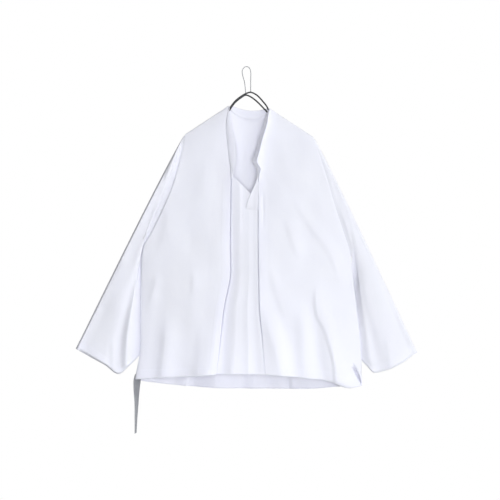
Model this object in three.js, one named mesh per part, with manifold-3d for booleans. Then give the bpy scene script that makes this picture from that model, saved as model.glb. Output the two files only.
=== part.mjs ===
// A loose white pullover tunic hanging on a thin double-wire hanger.
//
// The part is in millimetres, +Z up, with the wearer's front towards -Y. The origin is the inside top of
// the hanger's loop, where a hook carries it. "Left" and "right" are as seen from the front: -X and +X.
//
// Every piece of cloth is a wall of constant thickness around a grid of middle points. The grids come from
// short tables of stations, so that neighbouring pieces share their seam lines and stay a seam gap apart.

import * as THREE from 'three';
import { mergeVertices } from 'three/addons/utils/BufferGeometryUtils.js';
import Module from 'manifold-3d';

const wasm = await Module();
wasm.setup();

// ---- driving dimensions ----

const CLOTH_WALL = 1.5;
const SEAM_GAP = 0.3;
const HALF_SEAM = CLOTH_WALL / 2 + SEAM_GAP / 2;

const HANGER_WIRE_RADIUS = 2;
const LOOP_WIRE_RADIUS = 1;
const RIDGE_OVER_WIRE = 4.6;

// The cut edge of each front: v runs from the shoulder seam (0) to the hem (1). inner is the edge at the
// neck and the centre front, outer is the armhole and then the side seam.
const LEFT_FRONT = [
  { v: 0.00, innerX: -46, innerZ: -101, outerX: -159, outerZ: -175 },
  { v: 0.08, innerX: -54, innerZ: -151, outerX: -170, outerZ: -229 },
  { v: 0.17, innerX: -48, innerZ: -221, outerX: -192, outerZ: -307 },
  { v: 0.27, innerX: -42, innerZ: -283, outerX: -217, outerZ: -367 },
  { v: 0.37, innerX: -43, innerZ: -359, outerX: -247, outerZ: -429 },
  { v: 0.50, innerX: -44, innerZ: -450, outerX: -272, outerZ: -481 },
  { v: 0.62, innerX: -43, innerZ: -530, outerX: -275, outerZ: -567 },
  { v: 0.75, innerX: -60, innerZ: -627, outerX: -275, outerZ: -653 },
  { v: 0.87, innerX: -71, innerZ: -723, outerX: -275, outerZ: -718 },
  { v: 1.00, innerX: -79, innerZ: -797, outerX: -289, outerZ: -811 },
];
const RIGHT_FRONT = [
  { v: 0.00, innerX: 62, innerZ: -109, outerX: 173, outerZ: -182 },
  { v: 0.08, innerX: 44, innerZ: -146, outerX: 188, outerZ: -225 },
  { v: 0.17, innerX: 25, innerZ: -218, outerX: 209, outerZ: -294 },
  { v: 0.27, innerX: 29, innerZ: -283, outerX: 228, outerZ: -359 },
  { v: 0.37, innerX: 32, innerZ: -359, outerX: 251, outerZ: -429 },
  { v: 0.50, innerX: 32, innerZ: -450, outerX: 270, outerZ: -490 },
  { v: 0.62, innerX: 33, innerZ: -530, outerX: 280, outerZ: -570 },
  { v: 0.75, innerX: 35, innerZ: -621, outerX: 290, outerZ: -653 },
  { v: 0.87, innerX: 43, innerZ: -710, outerX: 297, outerZ: -723 },
  { v: 1.00, innerX: 49, innerZ: -796, outerX: 300, outerZ: -822 },
];
// Sideways swing of the right front's neck edge, positive to the right. It dies away across the front.
const RIGHT_EDGE_SWING = [
  { v: 0.000, swing: 0 },
  { v: 0.100, swing: 5 },
  { v: 0.157, swing: 3 },
  { v: 0.195, swing: -5 },
  { v: 0.212, swing: -10 },
  { v: 0.250, swing: 0 },
  { v: 1.000, swing: 0 },
];
const SWING_FADE = 5;

// How far the cloth stands off the plane of the hanger: front and back at the middle of the garment, edge
// at the armhole and the side seam, where the two meet.
const BODY_DEPTH = [
  { v: 0.000, front: HALF_SEAM, back: HALF_SEAM, edge: HALF_SEAM },
  { v: 0.004, front: 3.2, back: 3.2, edge: 3.2 },
  { v: 0.015, front: 4.8, back: 4.8, edge: 4.2 },
  { v: 0.080, front: 10, back: 12, edge: 6 },
  { v: 0.170, front: 15, back: 16, edge: 8 },
  { v: 0.270, front: 19, back: 19, edge: 9 },
  { v: 0.370, front: 23, back: 22, edge: 7 },
  { v: 0.500, front: 27, back: 25, edge: HALF_SEAM },
  { v: 0.750, front: 33, back: 29, edge: HALF_SEAM },
  { v: 0.870, front: 36, back: 31, edge: HALF_SEAM },
  { v: 1.000, front: 40, back: 33, edge: 4 },
];
const UNDERARM_V = 0.5;
const SIDE_ROUNDING = 2.4;
const SIDE_FULLNESS = 0.75;

const BACK_HEM_BELOW_FRONT = 22;
const BACK_NECK_DROP = 27;
const BACK_NECK_ROUNDING = 0.6;
const BACK_NECK_STANDOFF = 11;
const BACK_NECK_STANDOFF_AT_SHOULDER = 2.6;
const STANDOFF_ROUNDING = 0.5;
// v by which the standoff at the back of the neck has died away.
const BACK_NECK_STANDOFF_END = 0.15;
// How soon the slope of the shoulders dies away down the back.
const CROWN_FADE = 1.6;

// Hanging folds: a soft ridge (positive) or trough (negative) that runs from a top point down to the hem.
// reach is how far the cloth moves at the foot, leftWidth and rightWidth its two flanks there. Folds die
// away at the side edges, from the place where the depth share times FOLD_HOLD falls below one.
const FOLD_HOLD = 1.6;
const FOLD_WIDTH_AT_TOP = 0.7;
const FRONT_FOLDS = [
  { topX: 172, topZ: -520, footX: 252, footZ: -825, leftWidth: 24, rightWidth: 40, reach: 17 },
  { topX: 150, topZ: -500, footX: 196, footZ: -815, leftWidth: 26, rightWidth: 20, reach: -9 },
  { topX: 60, topZ: -500, footX: 108, footZ: -805, leftWidth: 26, rightWidth: 30, reach: -10 },
  { topX: -60, topZ: -560, footX: -100, footZ: -800, leftWidth: 30, rightWidth: 24, reach: 8 },
  { topX: -140, topZ: -480, footX: -178, footZ: -805, leftWidth: 34, rightWidth: 30, reach: -8 },
  { topX: -215, topZ: -470, footX: -246, footZ: -810, leftWidth: 22, rightWidth: 30, reach: -7 },
];
const BACK_FOLDS = [
  { topX: -150, topZ: -480, footX: -196, footZ: -830, leftWidth: 36, rightWidth: 30, reach: 12 },
  { topX: -60, topZ: -430, footX: -74, footZ: -835, leftWidth: 34, rightWidth: 34, reach: -12 },
  { topX: 44, topZ: -450, footX: 60, footZ: -835, leftWidth: 30, rightWidth: 40, reach: 12 },
  { topX: 130, topZ: -420, footX: 166, footZ: -835, leftWidth: 30, rightWidth: 34, reach: -11 },
];

// Centre front: the underlay of an inverted pleat, lapped behind both fronts and cut to a V at the neck.
const CENTRE_LAP = 20;
const NECK_V = { leftX: -38, leftZ: -281, bottomX: 6, bottomZ: -330, rightX: 30, rightZ: -276 };
const CENTRE_TOP_BEHIND_FRONT = -268;
const CENTRE_RECESS = [
  { z: -260, left: 2.5, middle: 2, right: 2 },
  { z: -450, left: 7, middle: 4, right: 4 },
  { z: -620, left: 12, middle: 4, right: 7 },
  { z: -797, left: 20, middle: 5, right: 9 },
];
// Shares of the pleat's width over which its underlay turns away from each front, and then passes from the
// depth beside each front to that of the middle.
const PLEAT_TURN = 0.2;
const PLEAT_LEFT_PASSAGE = 0.4;
const PLEAT_RIGHT_PASSAGE = 0.3;
const CENTRE_ROW_SPREAD = 1.1;
// The right side of the neck slit laps over the left one and ends in a free slanting edge.
const OVERLAP = { topX: 27, topZ: -272, footX: -4, footZ: -374, hiddenWidth: 20, footZHidden: -392 };
// Where the underlay drops a layer to pass behind the overlap: the margins left of and below its foot, and
// the widths over which it drops.
const OVERLAP_MARGIN = { left: 14, leftWidth: 10, below: 70, belowHeight: 50 };
const LAYER = CLOTH_WALL + SEAM_GAP + 0.5;

// Neckband: how far each band's seam lies into the neck from the edge of its front, positive to the right.
const LEFT_BAND_STANDOFF = 2.1;
const RIGHT_BAND_STANDOFF = -2.7;
const BAND_ROWS = [0.006, 0.02, 0.04, 0.065, 0.09, 0.12, 0.145, 0.17, 0.19, 0.212, 0.23, 0.25, 0.275];
// v by which the band's seam has come from behind the shoulder's ridge to the depth of the front.
const BAND_SET_FORWARD_END = 0.05;
// How each band's free edge stands from its seam, along the edge of its front.
const LEFT_BAND = [
  { v: 0.000, side: 1, forward: 5, up: 5 },
  { v: 0.040, side: 5, forward: 6, up: 3 },
  { v: 0.090, side: 13, forward: 7, up: 1 },
  { v: 0.155, side: 19, forward: 9, up: 0 },
  { v: 0.200, side: 17, forward: 9, up: -1 },
  { v: 0.240, side: 10, forward: 8, up: -2 },
  { v: 0.275, side: 4, forward: 6, up: -4 },
];
const RIGHT_BAND = [
  { v: 0.000, side: 4, forward: 6, up: 6 },
  { v: 0.040, side: 7, forward: 9, up: 2 },
  { v: 0.100, side: 9, forward: 12, up: 0 },
  { v: 0.157, side: 10, forward: 14, up: 0 },
  { v: 0.212, side: 13, forward: 13, up: -2 },
  { v: 0.250, side: 9, forward: 9, up: -3 },
  { v: 0.275, side: 4, forward: 7, up: -4 },
];
const BACK_BAND_HEIGHT = 22;
const BACK_BAND_END_HEIGHT = 10;
const BACK_BAND_LEAN = -1.5;
const BACK_BAND_CLEARANCE = CLOTH_WALL / 2 + SEAM_GAP + 0.3;
// Shares of the back neck that the band leaves free at each end, and by which it is drawn to the middle.
const BACK_BAND_END = 0.012;
const BACK_BAND_DRAWN_IN = 0.06;

// Sleeve cuffs: s runs from the top fold (0) to the underarm fold (1) along the flattened opening. The
// underarm fold hangs behind the back's side edge.
const LEFT_CUFF = [
  { s: 0.00, x: -443, z: -732 },
  { s: 0.20, x: -404, z: -754 },
  { s: 0.42, x: -368, z: -774 },
  { s: 0.64, x: -333, z: -798 },
  { s: 0.80, x: -307, z: -778 },
  { s: 1.00, x: -257, z: -726 },
];
const RIGHT_CUFF = [
  { s: 0.00, x: 443, z: -741 },
  { s: 0.20, x: 402, z: -770 },
  { s: 0.42, x: 366, z: -787 },
  { s: 0.64, x: 334, z: -795 },
  { s: 0.80, x: 313, z: -776 },
  { s: 1.00, x: 276, z: -735 },
];
const CUFF_HALF_DEPTH = 20;
const CUFF_ROUNDING = 0.7;
const SLEEVE_SET_BACK = 20;
// A long trough near the underarm fold: its s, its width and its depth on the front and the back sheet.
const SLEEVE_TROUGH = { s: 0.8, width: 0.12, front: 8, back: 3.2 };
// Both walls slope near the underarm, so their middle lines start further apart there.
const SHOULDER_CLEARANCE = SEAM_GAP + 0.5;
const UNDERARM_CLEARANCE = 2.3;
// The sleeve turns outwards from the armhole seam before it hangs, so that it stays clear of the body.
const SLEEVE_TURN = 44;
const SLEEVE_TURN_AT_UNDERARM = 0.22;
const SLEEVE_TURN_LENGTH = 0.06;

// The tie: a flat tape sewn inside the front's lower corner at the left side vent, turning as it hangs.
const TIE_WIDTH = 18;
const TIE_PATH = [
  { z: -799, x: -280.5, y: -1.3, turn: 3 },
  { z: -813, x: -284.0, y: -1.3, turn: 6 },
  { z: -827, x: -285.0, y: -2.5, turn: 26 },
  { z: -846, x: -285.5, y: -3, turn: 44 },
  { z: -866, x: -285.5, y: -3, turn: 58 },
  { z: -914, x: -287.0, y: -3, turn: 74 },
  { z: -952, x: -288.0, y: -2, turn: 82 },
];

// Hanger: heights of the upper and lower wire above the neck. Under the shoulders both follow the cloth.
const HANGER_NECK = [
  { x: -46, upper: -109.5, lower: -116.5 },
  { x: -38, upper: -99, lower: -105 },
  { x: -29, upper: -88, lower: -95 },
  { x: -14, upper: -76.5, lower: -79.5 },
  { x: -2, upper: -69.5, lower: -73 },
  { x: 11, upper: -66, lower: -77.5 },
  { x: 27, upper: -73.5, lower: -89.5 },
  { x: 42, upper: -89, lower: -104.5 },
  { x: 52, upper: -101.5, lower: -115 },
  { x: 61, upper: -116.6, lower: -124.5 },
];
const HANGER_REACH = 0.86;
const HANGER_ARM_STATIONS = [0.22, 0.45, 0.7, HANGER_REACH];
const HANGER_LOWER_DROP = 9;

// Loop: an upturned U of thin wire whose feet stand on the hanger's upper wire.
const LOOP_SEAT = HANGER_WIRE_RADIUS + SEAM_GAP + 0.5;
const LOOP_LEFT_FOOT_X = -2;
const LOOP_RIGHT_FOOT_X = 11;
const LOOP_SHAPE = [
  { x: -5.2, z: -39 },
  { x: -10, z: -21 },
  { x: -11, z: -10 },
  { x: -6.5, z: -1.6 },
  { x: 0, z: LOOP_WIRE_RADIUS },
  { x: 6.5, z: -1.6 },
  { x: 10.6, z: -10 },
  { x: 10.9, z: -39 },
];

// ---- interpolation ----

const lerp = (a, b, t) => a + (b - a) * t;
const clamp = (value, low, high) => Math.min(high, Math.max(low, value));
const smooth = (t) => clamp(t, 0, 1) ** 2 * (3 - 2 * clamp(t, 0, 1));

// Slope of a table's column at a row, level where the column turns, so that the curve never overshoots.
function columnSlope(table, key, column, row) {
  const rise = (from, to) => table[to][column] - table[from][column];
  const secant = (from, to) => rise(from, to) / (table[to][key] - table[from][key]);
  const last = table.length - 1;
  if (row === 0) return secant(0, 1);
  if (row === last) return secant(last - 1, last);
  const before = secant(row - 1, row);
  const after = secant(row, row + 1);
  return before * after <= 0 ? 0 : (2 * before * after) / (before + after);
}

// A smooth curve through one column of a table, with the table's key column rising or falling.
function tableValue(table, key, column, at) {
  const rising = Math.sign(table[1][key] - table[0][key]);
  let row = 0;
  while (row < table.length - 2 && (at - table[row + 1][key]) * rising > 0) row += 1;
  const span = table[row + 1][key] - table[row][key];
  const t = clamp((at - table[row][key]) / span, 0, 1);
  const t2 = t * t;
  const t3 = t2 * t;
  return table[row][column] * (2 * t3 - 3 * t2 + 1)
    + columnSlope(table, key, column, row) * span * (t3 - 2 * t2 + t)
    + table[row + 1][column] * (3 * t2 - 2 * t3)
    + columnSlope(table, key, column, row + 1) * span * (t3 - t2);
}

// Evenly spaced numbers from 0 to 1.
const steps = (count) => Array.from({ length: count + 1 }, (_, i) => i / count);

// ---- the cloth wall ----

function gridNormal(grid, i, j, round) {
  const rows = grid.length;
  const columns = grid[0].length;
  const nextColumn = round ? (j + 1) % columns : Math.min(j + 1, columns - 1);
  const lastColumn = round ? (j + columns - 1) % columns : Math.max(j - 1, 0);
  const down = grid[Math.min(i + 1, rows - 1)][j].clone().sub(grid[Math.max(i - 1, 0)][j]);
  const across = grid[i][nextColumn].clone().sub(grid[i][lastColumn]);
  return down.cross(across).normalize();
}

function signedVolume(points, triangles) {
  let sum = 0;
  for (const [a, b, c] of triangles) {
    sum += points[a].dot(points[b].clone().cross(points[c])) / 6;
  }
  return sum;
}

function geometryOf(points, triangles) {
  const facing = signedVolume(points, triangles) < 0 ? triangles.map(([a, b, c]) => [a, c, b]) : triangles;
  const geometry = new THREE.BufferGeometry();
  geometry.setAttribute('position', new THREE.Float32BufferAttribute(points.flatMap((p) => p.toArray()), 3));
  geometry.setIndex(facing.flat());
  geometry.computeVertexNormals();
  return geometry;
}

// A closed wall of constant thickness around a grid of middle points. A round grid is a tube whose rows
// are closed rings.
function clothWall(grid, round = false) {
  const rows = grid.length;
  const columns = grid[0].length;
  const points = [];
  for (const side of [1, -1]) {
    for (let i = 0; i < rows; i += 1) {
      for (let j = 0; j < columns; j += 1) {
        const offset = gridNormal(grid, i, j, round).multiplyScalar(side * CLOTH_WALL / 2);
        points.push(grid[i][j].clone().add(offset));
      }
    }
  }
  const outer = (i, j) => i * columns + (j % columns);
  const inner = (i, j) => rows * columns + outer(i, j);
  const triangles = [];
  const quad = (a, b, c, d) => triangles.push([a, b, c], [a, c, d]);
  const cells = round ? columns : columns - 1;
  for (let i = 0; i < rows - 1; i += 1) {
    for (let j = 0; j < cells; j += 1) {
      quad(outer(i, j), outer(i + 1, j), outer(i + 1, j + 1), outer(i, j + 1));
      quad(inner(i, j), inner(i, j + 1), inner(i + 1, j + 1), inner(i + 1, j));
    }
  }
  const foot = rows - 1;
  for (let j = 0; j < cells; j += 1) {
    quad(outer(0, j), outer(0, j + 1), inner(0, j + 1), inner(0, j));
    quad(outer(foot, j + 1), outer(foot, j), inner(foot, j), inner(foot, j + 1));
  }
  if (!round) {
    const end = columns - 1;
    for (let i = 0; i < foot; i += 1) {
      quad(outer(i + 1, 0), outer(i, 0), inner(i, 0), inner(i + 1, 0));
      quad(outer(i, end), outer(i + 1, end), inner(i + 1, end), inner(i, end));
    }
  }
  return geometryOf(points, triangles);
}

// ---- the body's surfaces ----

// Movement of the cloth by its hanging folds, positive outwards.
function foldReach(folds, x, z) {
  let sum = 0;
  for (const fold of folds) {
    const along = clamp((fold.topZ - z) / (fold.topZ - fold.footZ), 0, 1.1);
    const middle = lerp(fold.topX, fold.footX, along);
    const width = (x < middle ? fold.leftWidth : fold.rightWidth) * lerp(FOLD_WIDTH_AT_TOP, 1, along);
    sum += fold.reach * smooth(along) * Math.exp(-(((x - middle) / width) ** 2));
  }
  return sum;
}

// Share of the garment's depth between its middle (0) and its side edge (1).
const sideShare = (u) => (1 - clamp(u, 0, 1) ** SIDE_ROUNDING) ** SIDE_FULLNESS;

const MIDDLE_X = 0;

function edgePoint(table, v) {
  return { x: tableValue(table, 'v', 'outerX', v), z: tableValue(table, 'v', 'outerZ', v) };
}

function innerPoint(table, v) {
  return { x: tableValue(table, 'v', 'innerX', v), z: tableValue(table, 'v', 'innerZ', v) };
}

// Depth of the front or back wall at a place on the body, positive away from the hanger's plane.
function bodyDepth(surface, v, x, z) {
  const table = x < MIDDLE_X ? LEFT_FRONT : RIGHT_FRONT;
  const u = (x - MIDDLE_X) / (edgePoint(table, v).x - MIDDLE_X);
  const edge = tableValue(BODY_DEPTH, 'v', 'edge', v);
  const full = tableValue(BODY_DEPTH, 'v', surface, v);
  const folds = surface === 'front' ? FRONT_FOLDS : BACK_FOLDS;
  const share = sideShare(u);
  return edge + (full - edge) * share + foldReach(folds, x, z) * Math.min(1, share * FOLD_HOLD);
}

function frontPoint(table, u, v) {
  const inner = innerPoint(table, v);
  const outer = edgePoint(table, v);
  const swing = table === RIGHT_FRONT ? tableValue(RIGHT_EDGE_SWING, 'v', 'swing', v) : 0;
  const x = lerp(inner.x, outer.x, u) + swing * (1 - u) ** SWING_FADE;
  const z = lerp(inner.z, outer.z, u);
  return new THREE.Vector3(x, -bodyDepth('front', v, x, z), z);
}

// Rows crowd at the shoulder, where the cloth turns over the hanger's wire.
const RIDGE_ROW = 0.004;
const ARMHOLE_ROWS = [0, RIDGE_ROW, 0.015, 0.06, 0.12, 0.17, 0.212, 0.25, 0.32, 0.39, 0.45, UNDERARM_V];
const BODY_ROWS = [...ARMHOLE_ROWS, 0.58, 0.66, 0.74, 0.82, 0.91, 1];
const FRONT_COLUMNS = steps(17);
const BACK_COLUMN_COUNT = 26;
const NECK_LEFT_COLUMN = 9;
const NECK_RIGHT_COLUMN = 17;
const BACK_COLUMNS = steps(BACK_COLUMN_COUNT);

function front(table) {
  return clothWall(BODY_ROWS.map((v) => FRONT_COLUMNS.map((u) => frontPoint(table, u, v))));
}

// The back is one piece: its top runs up one shoulder, round the neck and down the other.
function backTop(x) {
  const left = LEFT_FRONT[0];
  const right = RIGHT_FRONT[0];
  const onShoulder = ({ innerX, innerZ, outerX, outerZ }) => (
    lerp(innerZ, outerZ, (x - innerX) / (outerX - innerX))
  );
  if (x < left.innerX) return onShoulder(left);
  if (x > right.innerX) return onShoulder(right);
  const t = (x - left.innerX) / (right.innerX - left.innerX);
  return lerp(left.innerZ, right.innerZ, t) - BACK_NECK_DROP * Math.sin(Math.PI * t) ** BACK_NECK_ROUNDING;
}

const NECK_LEFT_U = NECK_LEFT_COLUMN / BACK_COLUMN_COUNT;
const NECK_RIGHT_U = NECK_RIGHT_COLUMN / BACK_COLUMN_COUNT;

// Columns of the back at the shoulder seam, with one at each side of the neck.
function backTopX(u) {
  const stops = [
    { u: 0, x: LEFT_FRONT[0].outerX },
    { u: NECK_LEFT_U, x: LEFT_FRONT[0].innerX },
    { u: NECK_RIGHT_U, x: RIGHT_FRONT[0].innerX },
    { u: 1, x: RIGHT_FRONT[0].outerX },
  ];
  const k = u <= stops[1].u ? 0 : u <= stops[2].u ? 1 : 2;
  return lerp(stops[k].x, stops[k + 1].x, (u - stops[k].u) / (stops[k + 1].u - stops[k].u));
}

function backPoint(u, v) {
  const left = edgePoint(LEFT_FRONT, v);
  const right = edgePoint(RIGHT_FRONT, v);
  const settle = smooth(v / UNDERARM_V);
  const topX = backTopX(u);
  const crown = backTop(topX) - lerp(LEFT_FRONT[0].outerZ, RIGHT_FRONT[0].outerZ, u);
  const slant = topX - lerp(LEFT_FRONT[0].outerX, RIGHT_FRONT[0].outerX, u);
  const x = lerp(left.x, right.x, u) + slant * (1 - settle);
  const hem = BACK_HEM_BELOW_FRONT * sideShare(Math.abs(2 * u - 1)) * smooth(v);
  const z = lerp(left.z, right.z, u) + crown * (1 - v) ** CROWN_FADE - hem;
  const round = Math.sin(Math.PI * clamp((u - NECK_LEFT_U) / (NECK_RIGHT_U - NECK_LEFT_U), 0, 1));
  const atNeck = u >= NECK_LEFT_U && u <= NECK_RIGHT_U ? 1 : 0;
  const standoff = lerp(BACK_NECK_STANDOFF_AT_SHOULDER, BACK_NECK_STANDOFF, round ** STANDOFF_ROUNDING);
  const neck = atNeck * standoff * (1 - smooth(v / BACK_NECK_STANDOFF_END));
  return new THREE.Vector3(x, bodyDepth('back', v, x, z) + neck, z);
}

function back() {
  return clothWall(BODY_ROWS.map((v) => BACK_COLUMNS.map((u) => backPoint(u, v))));
}

// ---- centre front ----

const BISECTIONS = 24;

// The station v of a front that passes through a place on it, or through its inner edge at that height.
function stationAt(table, x, z) {
  const heightAt = (v) => {
    const inner = innerPoint(table, v);
    const outer = edgePoint(table, v);
    return lerp(inner.z, outer.z, clamp((x - inner.x) / (outer.x - inner.x), 0, 1));
  };
  let low = 0;
  let high = 1;
  for (let i = 0; i < BISECTIONS; i += 1) {
    const middle = (low + high) / 2;
    if (heightAt(middle) > z) low = middle;
    else high = middle;
  }
  return (low + high) / 2;
}

const innerX = (table, z) => innerPoint(table, stationAt(table, MIDDLE_X, z)).x;

function neckTop(x) {
  const { leftX, leftZ, bottomX, bottomZ, rightX, rightZ } = NECK_V;
  if (x <= leftX) return lerp(leftZ, CENTRE_TOP_BEHIND_FRONT, clamp((leftX - x) / CENTRE_LAP, 0, 1));
  if (x >= rightX) return lerp(rightZ, CENTRE_TOP_BEHIND_FRONT, clamp((x - rightX) / CENTRE_LAP, 0, 1));
  if (x <= bottomX) return lerp(leftZ, bottomZ, (x - leftX) / (bottomX - leftX));
  return lerp(bottomZ, rightZ, (x - bottomX) / (rightX - bottomX));
}

// Depth of the front wall at a place near the centre, whichever front it belongs to.
function centreFrontDepth(table, x, z) {
  return bodyDepth('front', stationAt(table, x, z), x, z);
}

// How far a piece at the centre lies behind the fronts, in layers of cloth plus the pleat's recess.
function centreDepth(x, z, layers) {
  const left = innerX(LEFT_FRONT, z);
  const right = innerX(RIGHT_FRONT, z);
  const t = clamp((x - left) / (right - left), 0, 1);
  const leftDepth = centreFrontDepth(LEFT_FRONT, Math.min(x, left), z);
  const rightDepth = centreFrontDepth(RIGHT_FRONT, Math.max(x, right), z);
  const depth = lerp(leftDepth, rightDepth, smooth(t));
  const leftRecess = tableValue(CENTRE_RECESS, 'z', 'left', z);
  const rightRecess = tableValue(CENTRE_RECESS, 'z', 'right', z);
  const middleRecess = tableValue(CENTRE_RECESS, 'z', 'middle', z);
  const fromLeft = (t - PLEAT_TURN) / PLEAT_LEFT_PASSAGE;
  const fromRight = (1 - PLEAT_TURN - t) / PLEAT_RIGHT_PASSAGE;
  const edgeLeft = leftRecess * smooth(t / PLEAT_TURN) * (1 - smooth(fromLeft));
  const edgeRight = rightRecess * smooth((1 - t) / PLEAT_TURN) * (1 - smooth(fromRight));
  const middle = middleRecess * smooth(fromLeft) * smooth(fromRight);
  return depth - layers * LAYER - Math.max(edgeLeft + middle, edgeRight);
}

// Share of the drop by which the underlay passes behind the overlap.
function behindOverlap(x, z) {
  const { left, leftWidth, below, belowHeight } = OVERLAP_MARGIN;
  return smooth((x - OVERLAP.footX + left) / leftWidth) * smooth((z - OVERLAP.footZ + below) / belowHeight);
}

function frontCentre() {
  const hem = LEFT_FRONT[LEFT_FRONT.length - 1].innerZ + 1;
  const grid = steps(14).map((row) => steps(16).map((u) => {
    const t = row ** CENTRE_ROW_SPREAD;
    const topX = lerp(NECK_V.leftX - CENTRE_LAP, NECK_V.rightX + CENTRE_LAP, u);
    const z = lerp(neckTop(topX), hem, t);
    const x = lerp(innerX(LEFT_FRONT, z) - CENTRE_LAP, innerX(RIGHT_FRONT, z) + CENTRE_LAP, u);
    const settled = lerp(topX, x, smooth(t * 4));
    return new THREE.Vector3(settled, -centreDepth(settled, z, 1 + behindOverlap(settled, z)), z);
  }));
  return clothWall(grid);
}

function neckOverlap() {
  const { topX, topZ, footX, footZ, hiddenWidth, footZHidden } = OVERLAP;
  const grid = steps(9).map((t) => steps(8).map((u) => {
    const z = lerp(topZ, lerp(footZ, footZHidden, u), t);
    const freeX = lerp(topX, footX, (topZ - z) / (topZ - footZ));
    const x = lerp(Math.max(freeX, footX), innerX(RIGHT_FRONT, z) + hiddenWidth, u);
    return new THREE.Vector3(x, -centreDepth(x, z, 1), z);
  }));
  return clothWall(grid);
}

// ---- neckband ----

// The strip that stands off the neck edge of one front.
function frontBand(table, band, standoff) {
  const grid = BAND_ROWS.map((v) => {
    const seam = frontPoint(table, 0, v);
    seam.x += standoff;
    seam.y -= 1 - smooth(v / BAND_SET_FORWARD_END);
    const free = new THREE.Vector3(
      tableValue(band, 'v', 'side', v),
      -tableValue(band, 'v', 'forward', v),
      tableValue(band, 'v', 'up', v),
    );
    return steps(3).map((w) => seam.clone().addScaledVector(free, w));
  });
  return clothWall(grid);
}

function backBand() {
  const middleX = (LEFT_FRONT[0].innerX + RIGHT_FRONT[0].innerX) / 2;
  const grid = steps(12).map((t) => {
    const u = lerp(NECK_LEFT_U + BACK_BAND_END, NECK_RIGHT_U - BACK_BAND_END, t);
    const seam = backPoint(u, 0);
    seam.x = lerp(seam.x, middleX, BACK_BAND_DRAWN_IN);
    seam.z += BACK_BAND_CLEARANCE;
    const round = Math.sin(Math.PI * t) ** STANDOFF_ROUNDING;
    const height = lerp(BACK_BAND_END_HEIGHT, BACK_BAND_HEIGHT, round);
    return steps(2).map((w) => seam.clone().add(new THREE.Vector3(0, BACK_BAND_LEAN * w, height * w)));
  });
  return clothWall(grid);
}

// ---- sleeves ----

function armholePoint(table, s) {
  const v = s * UNDERARM_V;
  const point = edgePoint(table, v);
  return new THREE.Vector3(point.x, 0, point.z);
}

// A place on the sleeve's flat outline: s from the top fold to the underarm fold, t from armhole to cuff.
function sleeveOutline(table, cuff, outward, s, t) {
  const point = armholePoint(table, s);
  point.x += outward * lerp(SHOULDER_CLEARANCE, UNDERARM_CLEARANCE, smooth(s * 2 - 0.6));
  point.lerp(new THREE.Vector3(tableValue(cuff, 's', 'x', s), 0, tableValue(cuff, 's', 'z', s)), t);
  const turnShare = Math.min(1, 3 * s) * lerp(SLEEVE_TURN_AT_UNDERARM, 1, 1 - s ** 6);
  point.x += outward * SLEEVE_TURN * turnShare * (t / (t + SLEEVE_TURN_LENGTH)) * (1 - t) ** 2;
  return point;
}

// Half the depth of the sleeve there, on the front (facing -1) or the back sheet (facing 1).
function sleeveDepth(s, t, facing) {
  const armDepth = tableValue(BODY_DEPTH, 'v', 'edge', s * UNDERARM_V);
  const cuffDepth = CUFF_HALF_DEPTH * Math.sin(Math.PI * s) ** CUFF_ROUNDING;
  const closing = Math.min(1, Math.sin(Math.PI * s) * 6);
  const troughShare = Math.exp(-(((s - SLEEVE_TROUGH.s) / SLEEVE_TROUGH.width) ** 2)) * smooth(t * 1.5 - 0.3);
  const trough = facing < 0 ? SLEEVE_TROUGH.front : SLEEVE_TROUGH.back;
  return lerp(armDepth, cuffDepth, smooth(t)) * closing - trough * troughShare;
}

// One ring of the sleeve: down the front sheet from the top fold to the underarm, and up the back sheet.
function sleeveRing(table, cuff, outward, t) {
  const place = (s, facing) => {
    const point = sleeveOutline(table, cuff, outward, s, t);
    point.y = SLEEVE_SET_BACK * smooth(t * 3) * s ** 2 + facing * sleeveDepth(s, t, facing);
    return point;
  };
  const stations = ARMHOLE_ROWS.filter((v) => v !== RIDGE_ROW).map((v) => v / UNDERARM_V);
  const frontSheet = stations.map((s) => place(s, -1));
  const backSheet = stations.slice(1, -1).reverse().map((s) => place(s, 1));
  return [...frontSheet, ...backSheet];
}

function sleeve(table, cuff, outward) {
  return clothWall(steps(13).map((t) => sleeveRing(table, cuff, outward, t)), true);
}

// ---- tie ----

function tie() {
  const top = TIE_PATH[0].z;
  const foot = TIE_PATH[TIE_PATH.length - 1].z;
  const grid = steps(14).map((t) => {
    const z = lerp(top, foot, t);
    const column = (name) => tableValue(TIE_PATH, 'z', name, z);
    const turn = THREE.MathUtils.degToRad(column('turn'));
    const middle = new THREE.Vector3(column('x'), column('y'), z);
    const across = new THREE.Vector3(Math.cos(turn), Math.sin(turn), 0);
    return steps(2).map((w) => middle.clone().addScaledVector(across, (w - 0.5) * TIE_WIDTH));
  });
  return clothWall(grid);
}

// ---- hanger and loop ----

function wire(points, radius, sides, segments) {
  const section = new THREE.Shape();
  section.absarc(0, 0, radius, 0, Math.PI * 2, false);
  const path = new THREE.CatmullRomCurve3(points, false, 'centripetal');
  return new THREE.ExtrudeGeometry(section, {
    steps: segments, curveSegments: sides, bevelEnabled: false, extrudePath: path,
  });
}

function solidOf(geometry) {
  const bare = new THREE.BufferGeometry();
  bare.setAttribute('position', geometry.getAttribute('position').clone());
  if (geometry.index) bare.setIndex(geometry.index.clone());
  const merged = mergeVertices(bare, 1e-4);
  return new wasm.Manifold(new wasm.Mesh({
    numProp: 3,
    vertProperties: new Float32Array(merged.getAttribute('position').array),
    triVerts: new Uint32Array(merged.index.array),
  }));
}

function geometryOfSolid(solid) {
  const mesh = solid.getMesh();
  const geometry = new THREE.BufferGeometry();
  geometry.setAttribute('position', new THREE.BufferAttribute(mesh.vertProperties, 3));
  geometry.setIndex(new THREE.BufferAttribute(mesh.triVerts, 1));
  geometry.computeVertexNormals();
  return geometry;
}

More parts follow.
